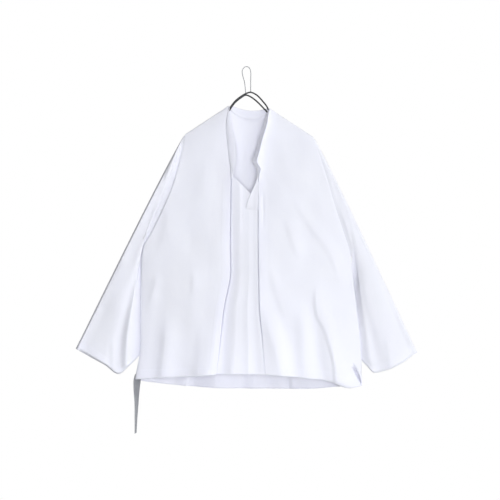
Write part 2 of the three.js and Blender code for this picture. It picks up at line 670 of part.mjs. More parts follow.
// Middle of the upper wire under a shoulder, u from the neck (0) to the end of the shoulder seam (1).
function underShoulder(table, u, drop) {
  const row = table[0];
  const run = new THREE.Vector3(row.outerX - row.innerX, 0, row.outerZ - row.innerZ).normalize();
  const down = new THREE.Vector3(run.z, 0, -run.x).multiplyScalar(Math.sign(run.x));
  const point = new THREE.Vector3(lerp(row.innerX, row.outerX, u), 0, lerp(row.innerZ, row.outerZ, u));
  return point.addScaledVector(down, RIDGE_OVER_WIRE + drop);
}

function hangerWire(which) {
  const share = which === 'lower' ? 1 : 0;
  const arm = (table) => HANGER_ARM_STATIONS.map((u) => {
    const apart = u === HANGER_REACH ? 0 : HANGER_LOWER_DROP;
    return underShoulder(table, u, share * apart);
  });
  const neck = HANGER_NECK.map((row) => new THREE.Vector3(row.x, 0, row[which]));
  return wire([...arm(LEFT_FRONT).reverse(), ...neck, ...arm(RIGHT_FRONT)], HANGER_WIRE_RADIUS, 4, 36);
}

function hanger() {
  return geometryOfSolid(solidOf(hangerWire('upper')).add(solidOf(hangerWire('lower'))));
}

function hangLoop() {
  const footAt = (x) => new THREE.Vector3(x, 0, tableValue(HANGER_NECK, 'x', 'upper', x) + LOOP_SEAT);
  const shape = LOOP_SHAPE.map((row) => new THREE.Vector3(row.x, 0, row.z));
  return wire([footAt(LOOP_LEFT_FOOT_X), ...shape, footAt(LOOP_RIGHT_FOOT_X)], LOOP_WIRE_RADIUS, 4, 30);
}

// ---- assembly ----

const tunic = new THREE.Group();

function material(color, roughness, metalness) {
  return new THREE.MeshStandardMaterial({ color, roughness, metalness });
}

const whiteCloth = () => material(0xf0f3fa, 0.85, 0);
const shadedTape = () => material(0xa9abb0, 0.85, 0);
const blackWire = () => material(0x141416, 0.35, 0);
const paleWire = () => material(0xb4b6ba, 0.3, 1);

function add(name, geometry, finish) {
  const mesh = new THREE.Mesh(geometry, finish);
  mesh.name = name;
  tunic.add(mesh);
}

add('front_left', front(LEFT_FRONT), whiteCloth());
add('front_right', front(RIGHT_FRONT), whiteCloth());
add('front_centre', frontCentre(), whiteCloth());
add('neck_overlap', neckOverlap(), whiteCloth());
add('back', back(), whiteCloth());
add('neckband_left', frontBand(LEFT_FRONT, LEFT_BAND, LEFT_BAND_STANDOFF), whiteCloth());
add('neckband_right', frontBand(RIGHT_FRONT, RIGHT_BAND, RIGHT_BAND_STANDOFF), whiteCloth());
add('neckband_back', backBand(), whiteCloth());
add('sleeve_left', sleeve(LEFT_FRONT, LEFT_CUFF, -1), whiteCloth());
add('sleeve_right', sleeve(RIGHT_FRONT, RIGHT_CUFF, 1), whiteCloth());
add('side_tie', tie(), shadedTape());
add('hanger', hanger(), blackWire());
add('hang_loop', hangLoop(), paleWire());

export default tunic;
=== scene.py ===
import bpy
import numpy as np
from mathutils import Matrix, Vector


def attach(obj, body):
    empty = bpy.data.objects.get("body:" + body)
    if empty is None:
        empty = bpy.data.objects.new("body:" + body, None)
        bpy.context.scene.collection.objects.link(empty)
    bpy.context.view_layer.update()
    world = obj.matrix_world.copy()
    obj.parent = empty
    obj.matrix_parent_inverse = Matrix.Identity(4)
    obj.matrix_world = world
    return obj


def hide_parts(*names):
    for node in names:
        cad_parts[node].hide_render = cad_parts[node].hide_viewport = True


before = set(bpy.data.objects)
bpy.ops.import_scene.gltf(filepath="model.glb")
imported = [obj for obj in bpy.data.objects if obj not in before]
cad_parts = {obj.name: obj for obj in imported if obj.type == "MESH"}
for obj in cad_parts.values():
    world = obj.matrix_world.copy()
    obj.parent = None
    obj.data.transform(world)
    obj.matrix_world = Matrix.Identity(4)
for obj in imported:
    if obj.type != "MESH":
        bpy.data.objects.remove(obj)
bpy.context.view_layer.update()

# A loose white pullover tunic that hangs on a thin double-wire hanger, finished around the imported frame.
#
# Tables and sizes are in millimetres in the frame's own axes: +Z up, the garment's front towards -Y, and the
# origin at the hanger's loop. "Left" and "right" are as seen from the front: -X and +X. The stations that
# shape each piece are those of its CAD solid, and the folds, rolls, hems and stitches are added to them here.

MM = 0.001
BODY = "root"

# ---- driving dimensions ----

CLOTH_WALL = 0.9
BAND_WALL = 1.4
TIE_WALL = 1.1
SEAM_HALF = 0.55
# How far a rim bulges beyond the last row of its wall, as a share of the wall.
RIM_BULGE = 0.4
# A turned hem, the step at its inner side, and the groove of the stitches just before that step.
HEM_WALL = 1.7
HEM_DEPTH = 18
HEM_STEP = 3
STITCH_INSET = 2
STITCH_GROOVE = 0.45
STITCH_HALF_WIDTH = 1.2
# Lengths of cloth from the top of each piece to its hem, along which the hems are measured.
FRONT_LENGTH = 640
BACK_LENGTH = 660
SLEEVE_LENGTH = 500

# The cut edge of each front. v runs from the shoulder seam (0) to the hem (1); inner is the edge at the neck
# and the centre front, outer is the armhole and then the side seam.
INNER_X, INNER_Z, OUTER_X, OUTER_Z = 1, 2, 3, 4
LEFT_FRONT = [
    (0.00, -46, -101, -159, -175),
    (0.08, -54, -151, -170, -229),
    (0.17, -48, -221, -192, -307),
    (0.27, -42, -283, -217, -367),
    (0.37, -43, -359, -247, -429),
    (0.50, -44, -450, -272, -481),
    (0.62, -43, -530, -275, -567),
    (0.75, -60, -627, -275, -653),
    (0.87, -71, -723, -275, -718),
    (1.00, -79, -797, -289, -811),
]
RIGHT_FRONT = [
    (0.00, 62, -109, 173, -182),
    (0.08, 44, -146, 188, -225),
    (0.17, 25, -218, 209, -294),
    (0.27, 29, -283, 228, -359),
    (0.37, 32, -359, 251, -429),
    (0.50, 32, -450, 270, -490),
    (0.62, 33, -530, 280, -570),
    (0.75, 35, -621, 290, -653),
    (0.87, 43, -710, 297, -723),
    (1.00, 49, -796, 300, -822),
]
UNDERARM_V = 0.5

# How far the cloth stands off the plane of the hanger: v, then front and back at the middle of the garment,
# then the armhole and side seam, where the two meet.
FRONT, BACK, EDGE = 1, 2, 3
BODY_DEPTH = [
    (0.000, SEAM_HALF, SEAM_HALF, SEAM_HALF),
    (0.004, 3.2, 3.2, 3.2),
    (0.015, 4.8, 4.8, 4.2),
    (0.080, 10, 12, 6),
    (0.170, 15, 16, 8),
    (0.270, 19, 19, 9),
    (0.370, 23, 22, 7),
    (0.500, 27, 25, SEAM_HALF),
    (0.750, 33, 29, SEAM_HALF),
    (0.870, 36, 31, SEAM_HALF),
    (1.000, 40, 33, 4),
]
SIDE_ROUNDING = 2.4
SIDE_FULLNESS = 0.75

# The cloth rolls over at the armhole and the side seam: v, then the roll's height on the left and the right.
SIDE_ROLL = [
    (0.00, 0, 0),
    (0.05, 2.5, 0.4),
    (0.15, 7, 0.8),
    (0.50, 7.5, 1.5),
    (0.62, 3.4, 3),
    (1.00, 3, 3),
]
SIDE_ROLL_WIDTH = 7
SIDE_ROLL_FADE = 38
HEM_CURL = 2.4
# Cloth folds freely where the garment has this share of its depth or more, and less towards the sides. Creases
# die out over a distance before the side seam, and all folds over a v below the shoulder seam.
FREE_FROM_SHARE = 0.625
SEAM_CALM = 4
SHOULDER_CALM_V = 0.02

BACK_HEM_BELOW_FRONT = 22
BACK_NECK_DROP = 27
BACK_NECK_STANDOFF = 11
BACK_NECK_STANDOFF_AT_SHOULDER = 2.6
BACK_NECK_STANDOFF_FOOT_V = 0.15
BACK_COLUMNS = 26
NECK_LEFT_U = 9 / BACK_COLUMNS
NECK_RIGHT_U = 17 / BACK_COLUMNS

# The front hem dips before the right side vent.
HEM_DIP_X = 262
HEM_DIP_WIDTH = 38
HEM_DIP = 15
HEM_DIP_FROM_V = 0.85
# It curls under further there.
HEM_DIP_CURL_X = 240
HEM_DIP_CURL_WIDTH = 26
HEM_DIP_CURL = 13

CENTRE_LAP = 20
NECK_V_LEFT = (-38, -281)
NECK_V_BOTTOM = (12, -331)
NECK_V_RIGHT = (37, -276)
CENTRE_TOP_BEHIND_FRONT = -268
# How far the pleat's underlay lies behind the fronts: z, then beside the left front, mid way and at the right.
CENTRE_RECESS = [
    (-260, 1.5, 0.5, 0.6),
    (-320, 5, 0.8, 0.8),
    (-450, 7, 1.5, 1.4),
    (-620, 12, 3, 2.6),
    (-797, 19, 5, 4.5),
]
# Where those recesses begin and fade out: in millimetres from the left front's edge, then shares of the width.
LEFT_TURN = (-16, -2)
LEFT_RECESS_FADE = (0.02, 0.38)
RIGHT_TURN = (1, 0.8)
RIGHT_RECESS_FADE = (0.8, 0.5)
# How far each layer of cloth at the centre lies behind the one before it.
LAYER = 1.4
# The narrow mouths of the pleat beside the fronts' edges: z, then the depths beside the left and the right.
PLEAT_MOUTH_FROM_EDGE = 0.6
PLEAT_MOUTH_HALF_WIDTH = 2.4
PLEAT_MOUTH = [
    (-240, 0, 0),
    (-300, 8, 0),
    (-400, 8, 4),
    (-520, 8.5, 7),
    (-640, 9, 7),
    (-720, 3, 4),
    (-800, 0, 1),
]
# The free edge of the overlap: z, then x.
OVERLAP_EDGE = [
    (-272, 30),
    (-299, 24),
    (-329, 11),
    (-351, 1.5),
    (-374, -4),
]
OVERLAP_LIFT = 3.2
OVERLAP_LIFT_WIDTH = 4
OVERLAP_LIFT_FADE = 9
OVERLAP_HIDDEN_WIDTH = 20
OVERLAP_HIDDEN_FOOT = -392
# Its lower edge is sewn down: it sinks into the underlay from this share of its length on.
OVERLAP_SINK = 1.7
OVERLAP_SINK_FROM = 0.72
# The underlay lies one layer deeper behind it. That begins over these distances in x and z from the free edge's
# foot.
OVERLAP_BESIDE_FOOT = (-14, -4)
OVERLAP_BELOW_FOOT = (-70, -20)

# Sideways swing of the right front's neck edge: v, then how far it moves to the right.
RIGHT_EDGE_SWING = [
    (0.000, 0),
    (0.100, 5),
    (0.157, 3),
    (0.195, -5),
    (0.212, -10),
    (0.250, 0),
    (1.000, 0),
]
SWING_FADE = 5

# Neckband: v on the front's edge, how far its seam lies beside that edge, and then how far its free edge
# stands sideways, forwards and up from the seam.
BAND_STANDOFF = 1.3
BAND_TOP_V = 0.006
# The seam lies before the front's edge by a share of how far it lies beside it, and a little more at the top.
BAND_FORWARD_SHARE = 0.4
BAND_FORWARD_AT_TOP = 1
BAND_FORWARD_FOOT_V = 0.05
# The strip bows towards the neck, and forwards by a share of its reach.
BAND_BOW = 1.2
BAND_BOW_FORWARD = 0.08
LEFT_BAND = [
    (0.000, 0, 1, 2, 4),
    (0.040, 0, 4, 3, 2),
    (0.090, 0, 13, 5, 1),
    (0.155, 0, 19, 7, 0),
    (0.200, 0, 17, 7, -1),
    (0.240, 0, 10, 6, -2),
    (0.275, 0, 4, 4, -3),
]
RIGHT_BAND = [
    (0.000, -2, 3, 5, 4),
    (0.040, -3, 6, 9, 2),
    (0.100, -1, 9, 13, 0),
    (0.157, 0, 9.5, 15, 0),
    (0.195, 0, 10.5, 14, -1),
    (0.212, 0, 13, 13, -2),
    (0.235, 0, 13, 10, -2),
    (0.255, 0, 8, 7, -3),
    (0.272, 2, 3, 5, -3),
    (0.292, 3, 1, 4, -3),
]
BACK_BAND_HEIGHT = 22
BACK_BAND_HEIGHT_AT_ENDS = 10
BACK_BAND_BELOW_EDGE = 3
BACK_BAND_FORWARD = 1
BACK_BAND_LEAN = 1.5
BACK_BAND_INSET_U = 0.012
BACK_BAND_NARROWING = 0.06
# The fronts' edges carry the bands down to this v, and a stitched turning below it.
BAND_FOOT_V = 0.27

# Sleeve cuffs: s from the top fold (0) to the underarm fold (1) along the flattened opening, then x and z.
LEFT_CUFF = [
    (0.00, -443, -732),
    (0.20, -404, -754),
    (0.42, -368, -774),
    (0.64, -333, -798),
    (0.80, -307, -778),
    (1.00, -257, -726),
]
RIGHT_CUFF = [
    (0.00, 443, -741),
    (0.20, 402, -770),
    (0.42, 366, -787),
    (0.64, 334, -795),
    (0.80, 313, -776),
    (1.00, 276, -735),
]
CUFF_HALF_DEPTH = 20
SLEEVE_SET_BACK = 20
# A long trough down the sleeve's middle: its s, its width, the t over which it deepens, and its depth on the
# front and the back sheet.
SLEEVE_TROUGH_S = 0.54
SLEEVE_TROUGH_WIDTH = 0.12
SLEEVE_TROUGH_DEEPENS = (1 / 5, 13 / 15)
SLEEVE_TROUGH_DEPTH = (6, 3.2)
# The sleeve runs outwards from the armhole before it hangs, though hardly at the underarm.
SLEEVE_TURN = 44
SLEEVE_TURN_AT_UNDERARM = 0.1
SLEEVE_TURN_T = 0.06
# The top fold of a sleeve stands up as a rolled edge: t, then its height on the left and the right.
SLEEVE_EDGE_ROLL = [
    (0.00, 17, 6),
    (0.40, 15, 6),
    (0.70, 10.5, 6),
    (1.00, 10, 7),
]
SLEEVE_EDGE_ROLL_WIDTH = 5.5
SLEEVE_EDGE_ROLL_FLANK = 30
SLEEVE_UNDERARM_ROLL_WIDTH = 8
# How far the top fold bows outwards from a straight line.
SLEEVE_BOW = 5
ARMHOLE_LENGTH = 330
CUFF_LENGTH = 190
CUFF_CURL = 13
CUFF_CURL_LENGTH = 6.5
CUFF_CURL_MOST = 0.7
# The gap between the armhole and a sleeve, at the top fold and at the underarm.
ARMHOLE_GAP = (0.8, 2.3)
# A sleeve's seam edge is tucked in under the body: how far in, how much flatter, and the t that this takes.
SLEEVE_TUCK = 3
SLEEVE_TUCK_FLATTER = 1.5
SLEEVE_TUCK_T = 0.012
SLEEVE_DRIFT = 0.8
SLEEVE_SEAM_CALM = 12

# The tie: z, x, y and how far it has turned, in degrees.
TIE_WIDTH = 18
TIE_CUP = 1.6
TIE_PATH = [
    (-799, -280.5, -1.3, 3),
    (-813, -284.0, -1.3, 6),
    (-827, -285.0, -2.5, 26),
    (-846, -285.5, -3, 44),
    (-866, -285.5, -3, 58),
    (-914, -287.0, -3, 74),
    (-952, -288.0, -2, 82),
]

# Hanger: x, then the heights of the upper and the lower wire above the neck.
WIRE_RADIUS = 2
HANGER_NECK = [
    (-46, -109.5, -114),
    (-38, -99.5, -102.5),
    (-29, -88.5, -91.5),
    (-14, -76.5, -79.5),
    (-2, -69.5, -73),
    (11, -66, -77.5),
    (27, -73.5, -89.5),
    (42, -89, -104.5),
    (52, -101.5, -115),
    (61, -116.6, -124.5),
]
# The arms lie under the shoulders' ridges: the shares of a shoulder's length that both wires pass and at which
# they meet, and how much deeper the lower wire and their meeting lie than the upper wire.
RIDGE_OVER_WIRE = 4.6
HANGER_REACH = 0.86
HANGER_ARM_STATIONS = (0.22, 0.45, 0.7, HANGER_REACH)
HANGER_END = HANGER_REACH + 0.015
HANGER_LOWER_DROP = 9
HANGER_END_DROP = 2.2
# The wires stand this far before and behind the hanger's plane at the neck, where they cross.
WIRE_ASIDE = 1.4
LOOP_WIRE_RADIUS = 1
LOOP_FEET_X = (-2, 11)
LOOP_SHAPE = [
    (-5.2, -39),
    (-10, -21),
    (-11, -10),
    (-6.5, -1.6),
    (0, LOOP_WIRE_RADIUS),
    (6.5, -1.6),
    (10.6, -10),
    (10.9, -39),
]

# The camera looks along +Y at the plane of the hanger, of which VIEW_WIDTH metres show across the picture.
VIEW_WIDTH = 1.3
CAMERA_DISTANCE = 4
SENSOR_WIDTH = 36
VIEW_CENTRE_X = 0.0091
VIEW_CENTRE_Z = -0.4758

# ---- folds and creases ----

# Broad hanging folds: top x and z, foot x and z, the widths of the left and right flanks, and the reach. They
# are narrower at the top by a share, and run on a little past the foot.
FOLD_WIDTH_AT_TOP = 0.7
FOLD_RUN_ON = 1.1
CREASE_STEPS = 20
FRONT_FOLDS = [
    (172, -520, 252, -825, 30, 40, 5),
    (150, -500, 196, -815, 26, 20, -9),
    (70, -500, 124, -805, 26, 30, -8),
    (-60, -560, -100, -800, 30, 24, 8),
    (-140, -480, -178, -805, 34, 30, -5),
    (-215, -470, -246, -810, 22, 30, -7),
]
BACK_FOLDS = [
    (-150, -480, -196, -830, 36, 30, 12),
    (-60, -430, -74, -835, 34, 34, -12),
    (44, -450, 60, -835, 30, 40, 12),
    (130, -420, 166, -835, 30, 34, -11),
]


def crease(path, left, right, height, fade=(0.35, 0.35)):
    """A ridge, or a trough where height is negative, along a path of (x, z) points that runs downwards.

    left and right are the widths of its flanks. fade holds the shares of its length over which it rises and
    ends; an end of 0 stays at its full height.
    """
    return {"path": path, "left": left, "right": right, "height": height, "fade": fade}


FRONT_CREASES = [
    # left front
    crease([(-228, -530), (-239, -575), (-252, -625)], 7, 16, 2.6),
    crease([(-137, -520), (-137, -595)], 6, 16, 1.6),
    crease([(-196, -330), (-206, -420), (-228, -500)], 14, 20, 2.6),
    crease([(-96, -210), (-120, -330), (-150, -430)], 26, 34, 2.2),
    crease([(-205, -640), (-212, -730), (-220, -812)], 10, 24, 3.4, (0.4, 0)),
    crease([(-112, -655), (-120, -730), (-126, -800)], 12, 22, 2.4, (0.4, 0)),
    # right front
    crease(
        [(118, -330), (141, -369), (170, -416), (203, -458), (226, -499), (243, -556), (248, -610)], 10, 20, 3
    ),
    crease([(92, -180), (108, -250), (128, -335)], 24, 40, 4),
    crease([(101, -380), (122, -450), (146, -515)], 10, 24, 3),
    crease([(61, -500), (84, -590), (116, -690)], 13, 26, 3.6),
    crease(
        [(179, -545), (181, -640), (198, -672), (213, -715), (225, -760), (231, -822)], 3.4, 26, 5.5, (0.35, 0)
    ),
    crease([(277, -768), (288, -792), (304, -826)], 3, 14, 6, (0.3, 0)),
    crease([(275, -770), (286, -793), (302, -826)], 4, 2.6, -22, (0.3, 0)),
    crease([(269, -530), (287, -602), (298, -655)], 5, 9, 2.5),
    crease([(50, -620), (70, -700), (84, -750), (97, -803)], 20, 32, 7, (0.35, 0)),
    crease([(42.5, -318), (43.5, -430)], 2.6, 3.4, -1.6),
    crease([(140, -600), (146, -700), (150, -808)], 14, 20, 2.6, (0.4, 0)),
]
BACK_CREASES = [
    crease([(-120, -190), (-150, -300), (-196, -420), (-228, -520)], 14, 30, 6),
    crease([(118, -200), (150, -310), (200, -430), (236, -540)], 30, 13, 6.4),
    crease([(-60, -230), (-84, -350), (-110, -500)], 22, 30, 4.4),
    crease([(66, -260), (84, -380), (96, -520)], 30, 18, 4.2),
    crease([(-226, -560), (-236, -680), (-244, -815)], 8, 22, 7, (0.35, 0)),
    crease([(-136, -600), (-140, -710), (-150, -835)], 6, 24, 8.5, (0.35, 0)),
    crease([(-20, -540), (-14, -690), (-8, -838)], 12, 18, 6, (0.4, 0)),
    crease([(92, -600), (98, -720), (112, -838)], 20, 6, 7.5, (0.4, 0)),
    crease([(196, -600), (214, -700), (232, -830)], 24, 7, 8, (0.3, 0)),
    crease([(262, -640), (272, -730), (276, -822)], 12, 8, 4, (0.4, 0)),
    crease([(0, -150), (2, -240), (-4, -330)], 8, 9, 2.4),
]
LEFT_SLEEVE_FRONT_CREASES = [
    crease([(-260, -505), (-272, -551), (-294, -624), (-307, -699), (-310, -770)], 12, 18, 13, (0.25, 0)),
    crease([(-172, -196), (-185, -230), (-199, -263), (-214, -305)], 3.5, 10, 4.5),
    crease([(-230, -360), (-262, -450), (-300, -560)], 12, 26, 4),
    crease([(-300, -470), (-340, -590), (-372, -700)], 20, 34, 3.4),
    crease([(-345, -700), (-346, -745), (-346, -785)], 6, 12, 3, (0.4, 0)),
]
LEFT_SLEEVE_BACK_CREASES = [
    crease([(-210, -270), (-246, -380), (-290, -500)], 20, 12, 4.4),
    crease([(-270, -480), (-300, -600), (-322, -740)], 9, 24, 5, (0.35, 0)),
    crease([(-330, -560), (-366, -660), (-392, -745)], 28, 10, 4, (0.4, 0)),
]
RIGHT_SLEEVE_FRONT_CREASES = [
    crease([(232, -350), (262, -440), (296, -540)], 12, 28, 3),
    crease([(290, -520), (306, -620), (318, -760)], 10, 18, 5, (0.35, 0)),
    crease([(300, -470), (345, -590), (380, -710)], 24, 34, 3),
    crease([(362, -690), (370, -740), (374, -785)], 8, 16, 2.4, (0.4, 0)),
]
RIGHT_SLEEVE_BACK_CREASES = [
    crease([(214, -260), (256, -390), (300, -520)], 14, 22, 4.4),
    crease([(276, -500), (310, -620), (330, -755)], 24, 9, 5, (0.35, 0)),
    crease([(350, -600), (378, -680), (398, -760)], 10, 26, 4, (0.4, 0)),
]
# What moves each surface of the body: its folds, its creases and the shift of its slow unevenness.
FALL = {
    FRONT: (FRONT_FOLDS, FRONT_CREASES, 0),
    BACK: (BACK_FOLDS, BACK_CREASES, 2),
}
LEFT_SLEEVE_CREASES = (LEFT_SLEEVE_FRONT_CREASES, LEFT_SLEEVE_BACK_CREASES)
RIGHT_SLEEVE_CREASES = (RIGHT_SLEEVE_FRONT_CREASES, RIGHT_SLEEVE_BACK_CREASES)

# ---- interpolation ----


def lerp(a, b, t):
    return a + (b - a) * t


def smooth(t):
    t = np.clip(t, 0, 1)
    return t * t * (3 - 2 * t)


def ramp(value, start, end):
    """Rises smoothly from 0 where the value is at start to 1 where it is at end."""
    return smooth((value - start) / (end - start))


def quarter(t):
    """Rises from 0 to 1 as a quarter of a circle does, straight up at first."""
    return np.sqrt(1 - (1 - np.clip(t, 0, 1)) ** 2)


def bell(distance, width):
    """Falls from 1 at no distance to almost nothing at twice the width, on both sides."""
    return np.exp(-((distance / width) ** 2))


def hermite(start, leaving, end, arriving, t):
    """A cubic from start to end with those slopes at its two ends."""
    return (
        start * (1 + 2 * t) * (1 - t) ** 2
        + leaving * t * (1 - t) ** 2
        + end * t**2 * (3 - 2 * t)
        - arriving * t**2 * (1 - t)
    )


def curve(table, column, at):
    """A smooth curve through one column of a table against its first column, level wherever it turns."""
    rows = np.array(sorted(table), float)
    key, value = rows[:, 0], rows[:, column]
    secant = np.diff(value) / np.diff(key)
    before, after = secant[:-1], secant[1:]
    turns = before * after <= 0
    inside = np.where(turns, 0, 2 * before * after / np.where(turns, 1, before + after))
    slope = np.concatenate([secant[:1], inside, secant[-1:]])
    row = np.clip(np.searchsorted(key, at) - 1, 0, len(key) - 2)
    span = key[row + 1] - key[row]
    t = np.clip((at - key[row]) / span, 0, 1)
    return hermite(value[row], slope[row] * span, value[row + 1], slope[row + 1] * span, t)


def crowded(count, at_start, at_end, reach=0.04):
    """count + 1 numbers from 0 to 1 that lie closer together near the ends, by the factors given."""
    t = np.linspace(0, 1, 800)
    density = 1 + at_start * np.exp(-t / reach) + at_end * np.exp(-(1 - t) / reach)
    total = np.concatenate([[0], np.cumsum((density[1:] + density[:-1]) / 2)])
    return np.interp(np.linspace(0, 1, count + 1), total / total[-1], t)


def smooth_path(points, count):
    """count + 1 points on the centripetal Catmull-Rom curve through the points."""
    points = np.array(points, float)
    padded = np.vstack([2 * points[0] - points[1], points, 2 * points[-1] - points[-2]])
    step = np.diff(padded, axis=0)
    gap = np.linalg.norm(step, axis=1)[:, None] ** 0.5
    slope = step[:-1] / gap[:-1] - (padded[2:] - padded[:-2]) / (gap[:-1] + gap[1:]) + step[1:] / gap[1:]
    at = np.linspace(0, len(points) - 1, count + 1)
    k = np.minimum(at.astype(int), len(points) - 2)
    reach = gap[k + 1]
    return hermite(points[k], slope[k] * reach, points[k + 1], slope[k + 1] * reach, (at - k)[:, None])


# ---- the fall of the cloth ----


def fold_reach(folds, x, z):
    """Movement of the body by its broad hanging folds, positive outwards."""
    total = np.zeros_like(x)
    for top_x, top_z, foot_x, foot_z, left, right, reach in folds:
        along = np.clip((top_z - z) / (top_z - foot_z), 0, FOLD_RUN_ON)
        middle = lerp(top_x, foot_x, along)
        width = np.where(x < middle, left, right) * lerp(FOLD_WIDTH_AT_TOP, 1, along)
        total += reach * smooth(along) * bell(x - middle, width)
    return total


def beside(path, x, z):
    """Distance from a polyline of (x, z) points, its side and how far along it the nearest point lies.

    The side is a signed area, positive on the right of a path that runs downwards, and how far along is a share
    of the polyline's length.
    """
    length =np.concatenate([[0], np.cumsum(np.linalg.norm(np.diff(path, axis=0), axis=1))])
    nearest = np.full(x.shape, np.inf)
    side = np.zeros_like(x)
    along = np.zeros_like(x)
    for k, (start, end) in enumerate(zip(path[:-1], path[1:])):
        run = end - start
        t = np.clip(((x - start[0]) * run[0] + (z - start[1]) * run[1]) / (run @ run), 0, 1)
        away_x = x - start[0] - t * run[0]
        away_z = z - start[1] - t * run[1]
        away = np.hypot(away_x, away_z)
        closer = away < nearest
        nearest = np.where(closer, away, nearest)
        side = np.where(closer, run[0] * away_z - run[1] * away_x, side)
        along = np.where(closer, (length[k] + t * (length[k + 1] - length[k])) / length[-1], along)
    return nearest, side, along


def crease_reach(creases, x, z):
    """Movement of a sheet by its creases, positive outwards."""
    total = np.zeros_like(x)
    for one in creases:
        nearest, side, along = beside(smooth_path(one["path"], CREASE_STEPS), x, z)
        width = np.where(side > 0, one["right"], one["left"])
        rise, fall = one["fade"]
        share = smooth(along / rise) * (smooth((1 - along) / fall) if fall else 1)
        total += one["height"] * share * bell(nearest, width)
    return total


# Slow unevenness of hanging cloth: direction in degrees, wavelength, phase and height of each wave.
DRIFT = [
    (12, 96, 0.4, 0.55),
    (-24, 132, 2.1, 0.7),
    (63, 171, 4.0, 0.6),
    (-8, 61, 1.3, 0.3),
    (35, 74, 5.2, 0.28),
    (-51, 118, 3.3, 0.4),
]


def drift(x, z, shift=0):
    total = np.zeros_like(x)
    for angle, wavelength, phase, height in DRIFT:
        turned = x * np.cos(np.radians(angle)) + z * np.sin(np.radians(angle))
        total += height * np.sin(2 * np.pi * turned / wavelength + phase + shift)
    return total


# ---- the body's surfaces ----


def side_share(u):
    """Share of the garment's depth between its middle (0) and its side edge (1)."""
    return (1 - np.clip(u, 0, 1) ** SIDE_ROUNDING) ** SIDE_FULLNESS


def body_depth(surface, v, x, z):
    """Depth of the front or back at a place on the body, positive away from the hanger's plane."""
    on_left = x < 0
    edge_x = np.where(on_left, curve(LEFT_FRONT, OUTER_X, v), curve(RIGHT_FRONT, OUTER_X, v))
    share = side_share(x / edge_x)
    edge = curve(BODY_DEPTH, EDGE, v)
    full = curve(BODY_DEPTH, surface, v)
    inward = np.abs(edge_x) - np.abs(x)
    roll = np.where(on_left, curve(SIDE_ROLL, 1, v), curve(SIDE_ROLL, 2, v))
    roll = roll * quarter(inward / SIDE_ROLL_WIDTH) * np.exp(-np.maximum(inward, 0) / SIDE_ROLL_FADE)
    folds, creases, shift = FALL[surface]
    free = np.minimum(1, share / FREE_FROM_SHARE)
    creased = crease_reach(creases, x, z) + drift(x, z, shift) * free
    moved = fold_reach(folds, x, z) * free + creased * ramp(inward, 0, SEAM_CALM)
    return edge + (full - edge) * share + roll + moved * ramp(v, 0, SHOULDER_CALM_V)


def front_place(table, u, v):
    """x and z of a point of one front, u from its inner edge (0) to its outer one (1)."""
    x = lerp(curve(table, INNER_X, v), curve(table, OUTER_X, v), u)
    z = lerp(curve(table, INNER_Z, v), curve(table, OUTER_Z, v), u)
    if table is RIGHT_FRONT:
        x = x + curve(RIGHT_EDGE_SWING, 1, v) * (1 - u) ** SWING_FADE
    dip = HEM_DIP * bell(x - HEM_DIP_X, HEM_DIP_WIDTH) * ramp(v, HEM_DIP_FROM_V, 1)
    return x, z - dip


def hem_curl(length, share_left, curl):
    """How far a hem has curled back at the share of the piece's length that is left before its edge."""
    return curl * (1 - quarter(length * share_left / curl))


def front_points(table, u, v):
    x, z = front_place(table, u, v)
    curl = HEM_CURL + HEM_DIP_CURL * bell(x - HEM_DIP_CURL_X, HEM_DIP_CURL_WIDTH)
    depth = body_depth(FRONT, v, x, z) - hem_curl(FRONT_LENGTH, 1 - v, curl)
    return np.stack([x, -depth, z], -1)


def back_top(x):
    """Height of the back's top edge: up one shoulder, round the neck and down the other."""
    _, left_in, left_in_z, left_out, left_out_z = LEFT_FRONT[0]
    _, right_in, right_in_z, right_out, right_out_z = RIGHT_FRONT[0]
    corners_x = [left_out, left_in, right_in, right_out]
    corners_z = [left_out_z, left_in_z, right_in_z, right_out_z]
    t = np.clip((x - left_in) / (right_in - left_in), 0, 1)
    return np.interp(x, corners_x, corners_z) - BACK_NECK_DROP * np.sin(np.pi * t) ** 0.6


def back_neck_standoff(u):
    """How far the back's top edge stands off behind the neck, which it does one column beyond it too."""
    t = np.clip((u - NECK_LEFT_U) / (NECK_RIGHT_U - NECK_LEFT_U), 0, 1)
    column = 1 / BACK_COLUMNS
    stops = [NECK_LEFT_U - column, NECK_LEFT_U, NECK_RIGHT_U, NECK_RIGHT_U + column]
    standoff = lerp(BACK_NECK_STANDOFF_AT_SHOULDER, BACK_NECK_STANDOFF, np.sin(np.pi * t) ** 0.5)
    return standoff * np.interp(u, stops, [0, 1, 1, 0])


def back_points(u, v):
    """The back, u from its left side to its right one."""
    left_x, left_z = curve(LEFT_FRONT, OUTER_X, v), curve(LEFT_FRONT, OUTER_Z, v)
    right_x, right_z = curve(RIGHT_FRONT, OUTER_X, v), curve(RIGHT_FRONT, OUTER_Z, v)
    shoulders = (LEFT_FRONT[0][OUTER_X], RIGHT_FRONT[0][OUTER_X])
    stops = [shoulders[0], LEFT_FRONT[0][INNER_X], RIGHT_FRONT[0][INNER_X], shoulders[1]]
    top_x = np.interp(u, [0, NECK_LEFT_U, NECK_RIGHT_U, 1], stops)
    crown = back_top(top_x) - lerp(LEFT_FRONT[0][OUTER_Z], RIGHT_FRONT[0][OUTER_Z], u)
    slant = top_x - lerp(*shoulders, u)
    x = lerp(left_x, right_x, u) + slant * (1 - smooth(v / UNDERARM_V))
    hem = BACK_HEM_BELOW_FRONT * side_share(np.abs(2 * u - 1)) * smooth(v)
    z = lerp(left_z, right_z, u) + crown * (1 - v) ** 1.6 - hem
    standoff = back_neck_standoff(u) * (1 - ramp(v, 0, BACK_NECK_STANDOFF_FOOT_V))
    depth = body_depth(BACK, v, x, z) + standoff - hem_curl(BACK_LENGTH, 1 - v, HEM_CURL)
    return np.stack([x, depth, z], -1)


# ---- centre front ----

HALVINGS = 20


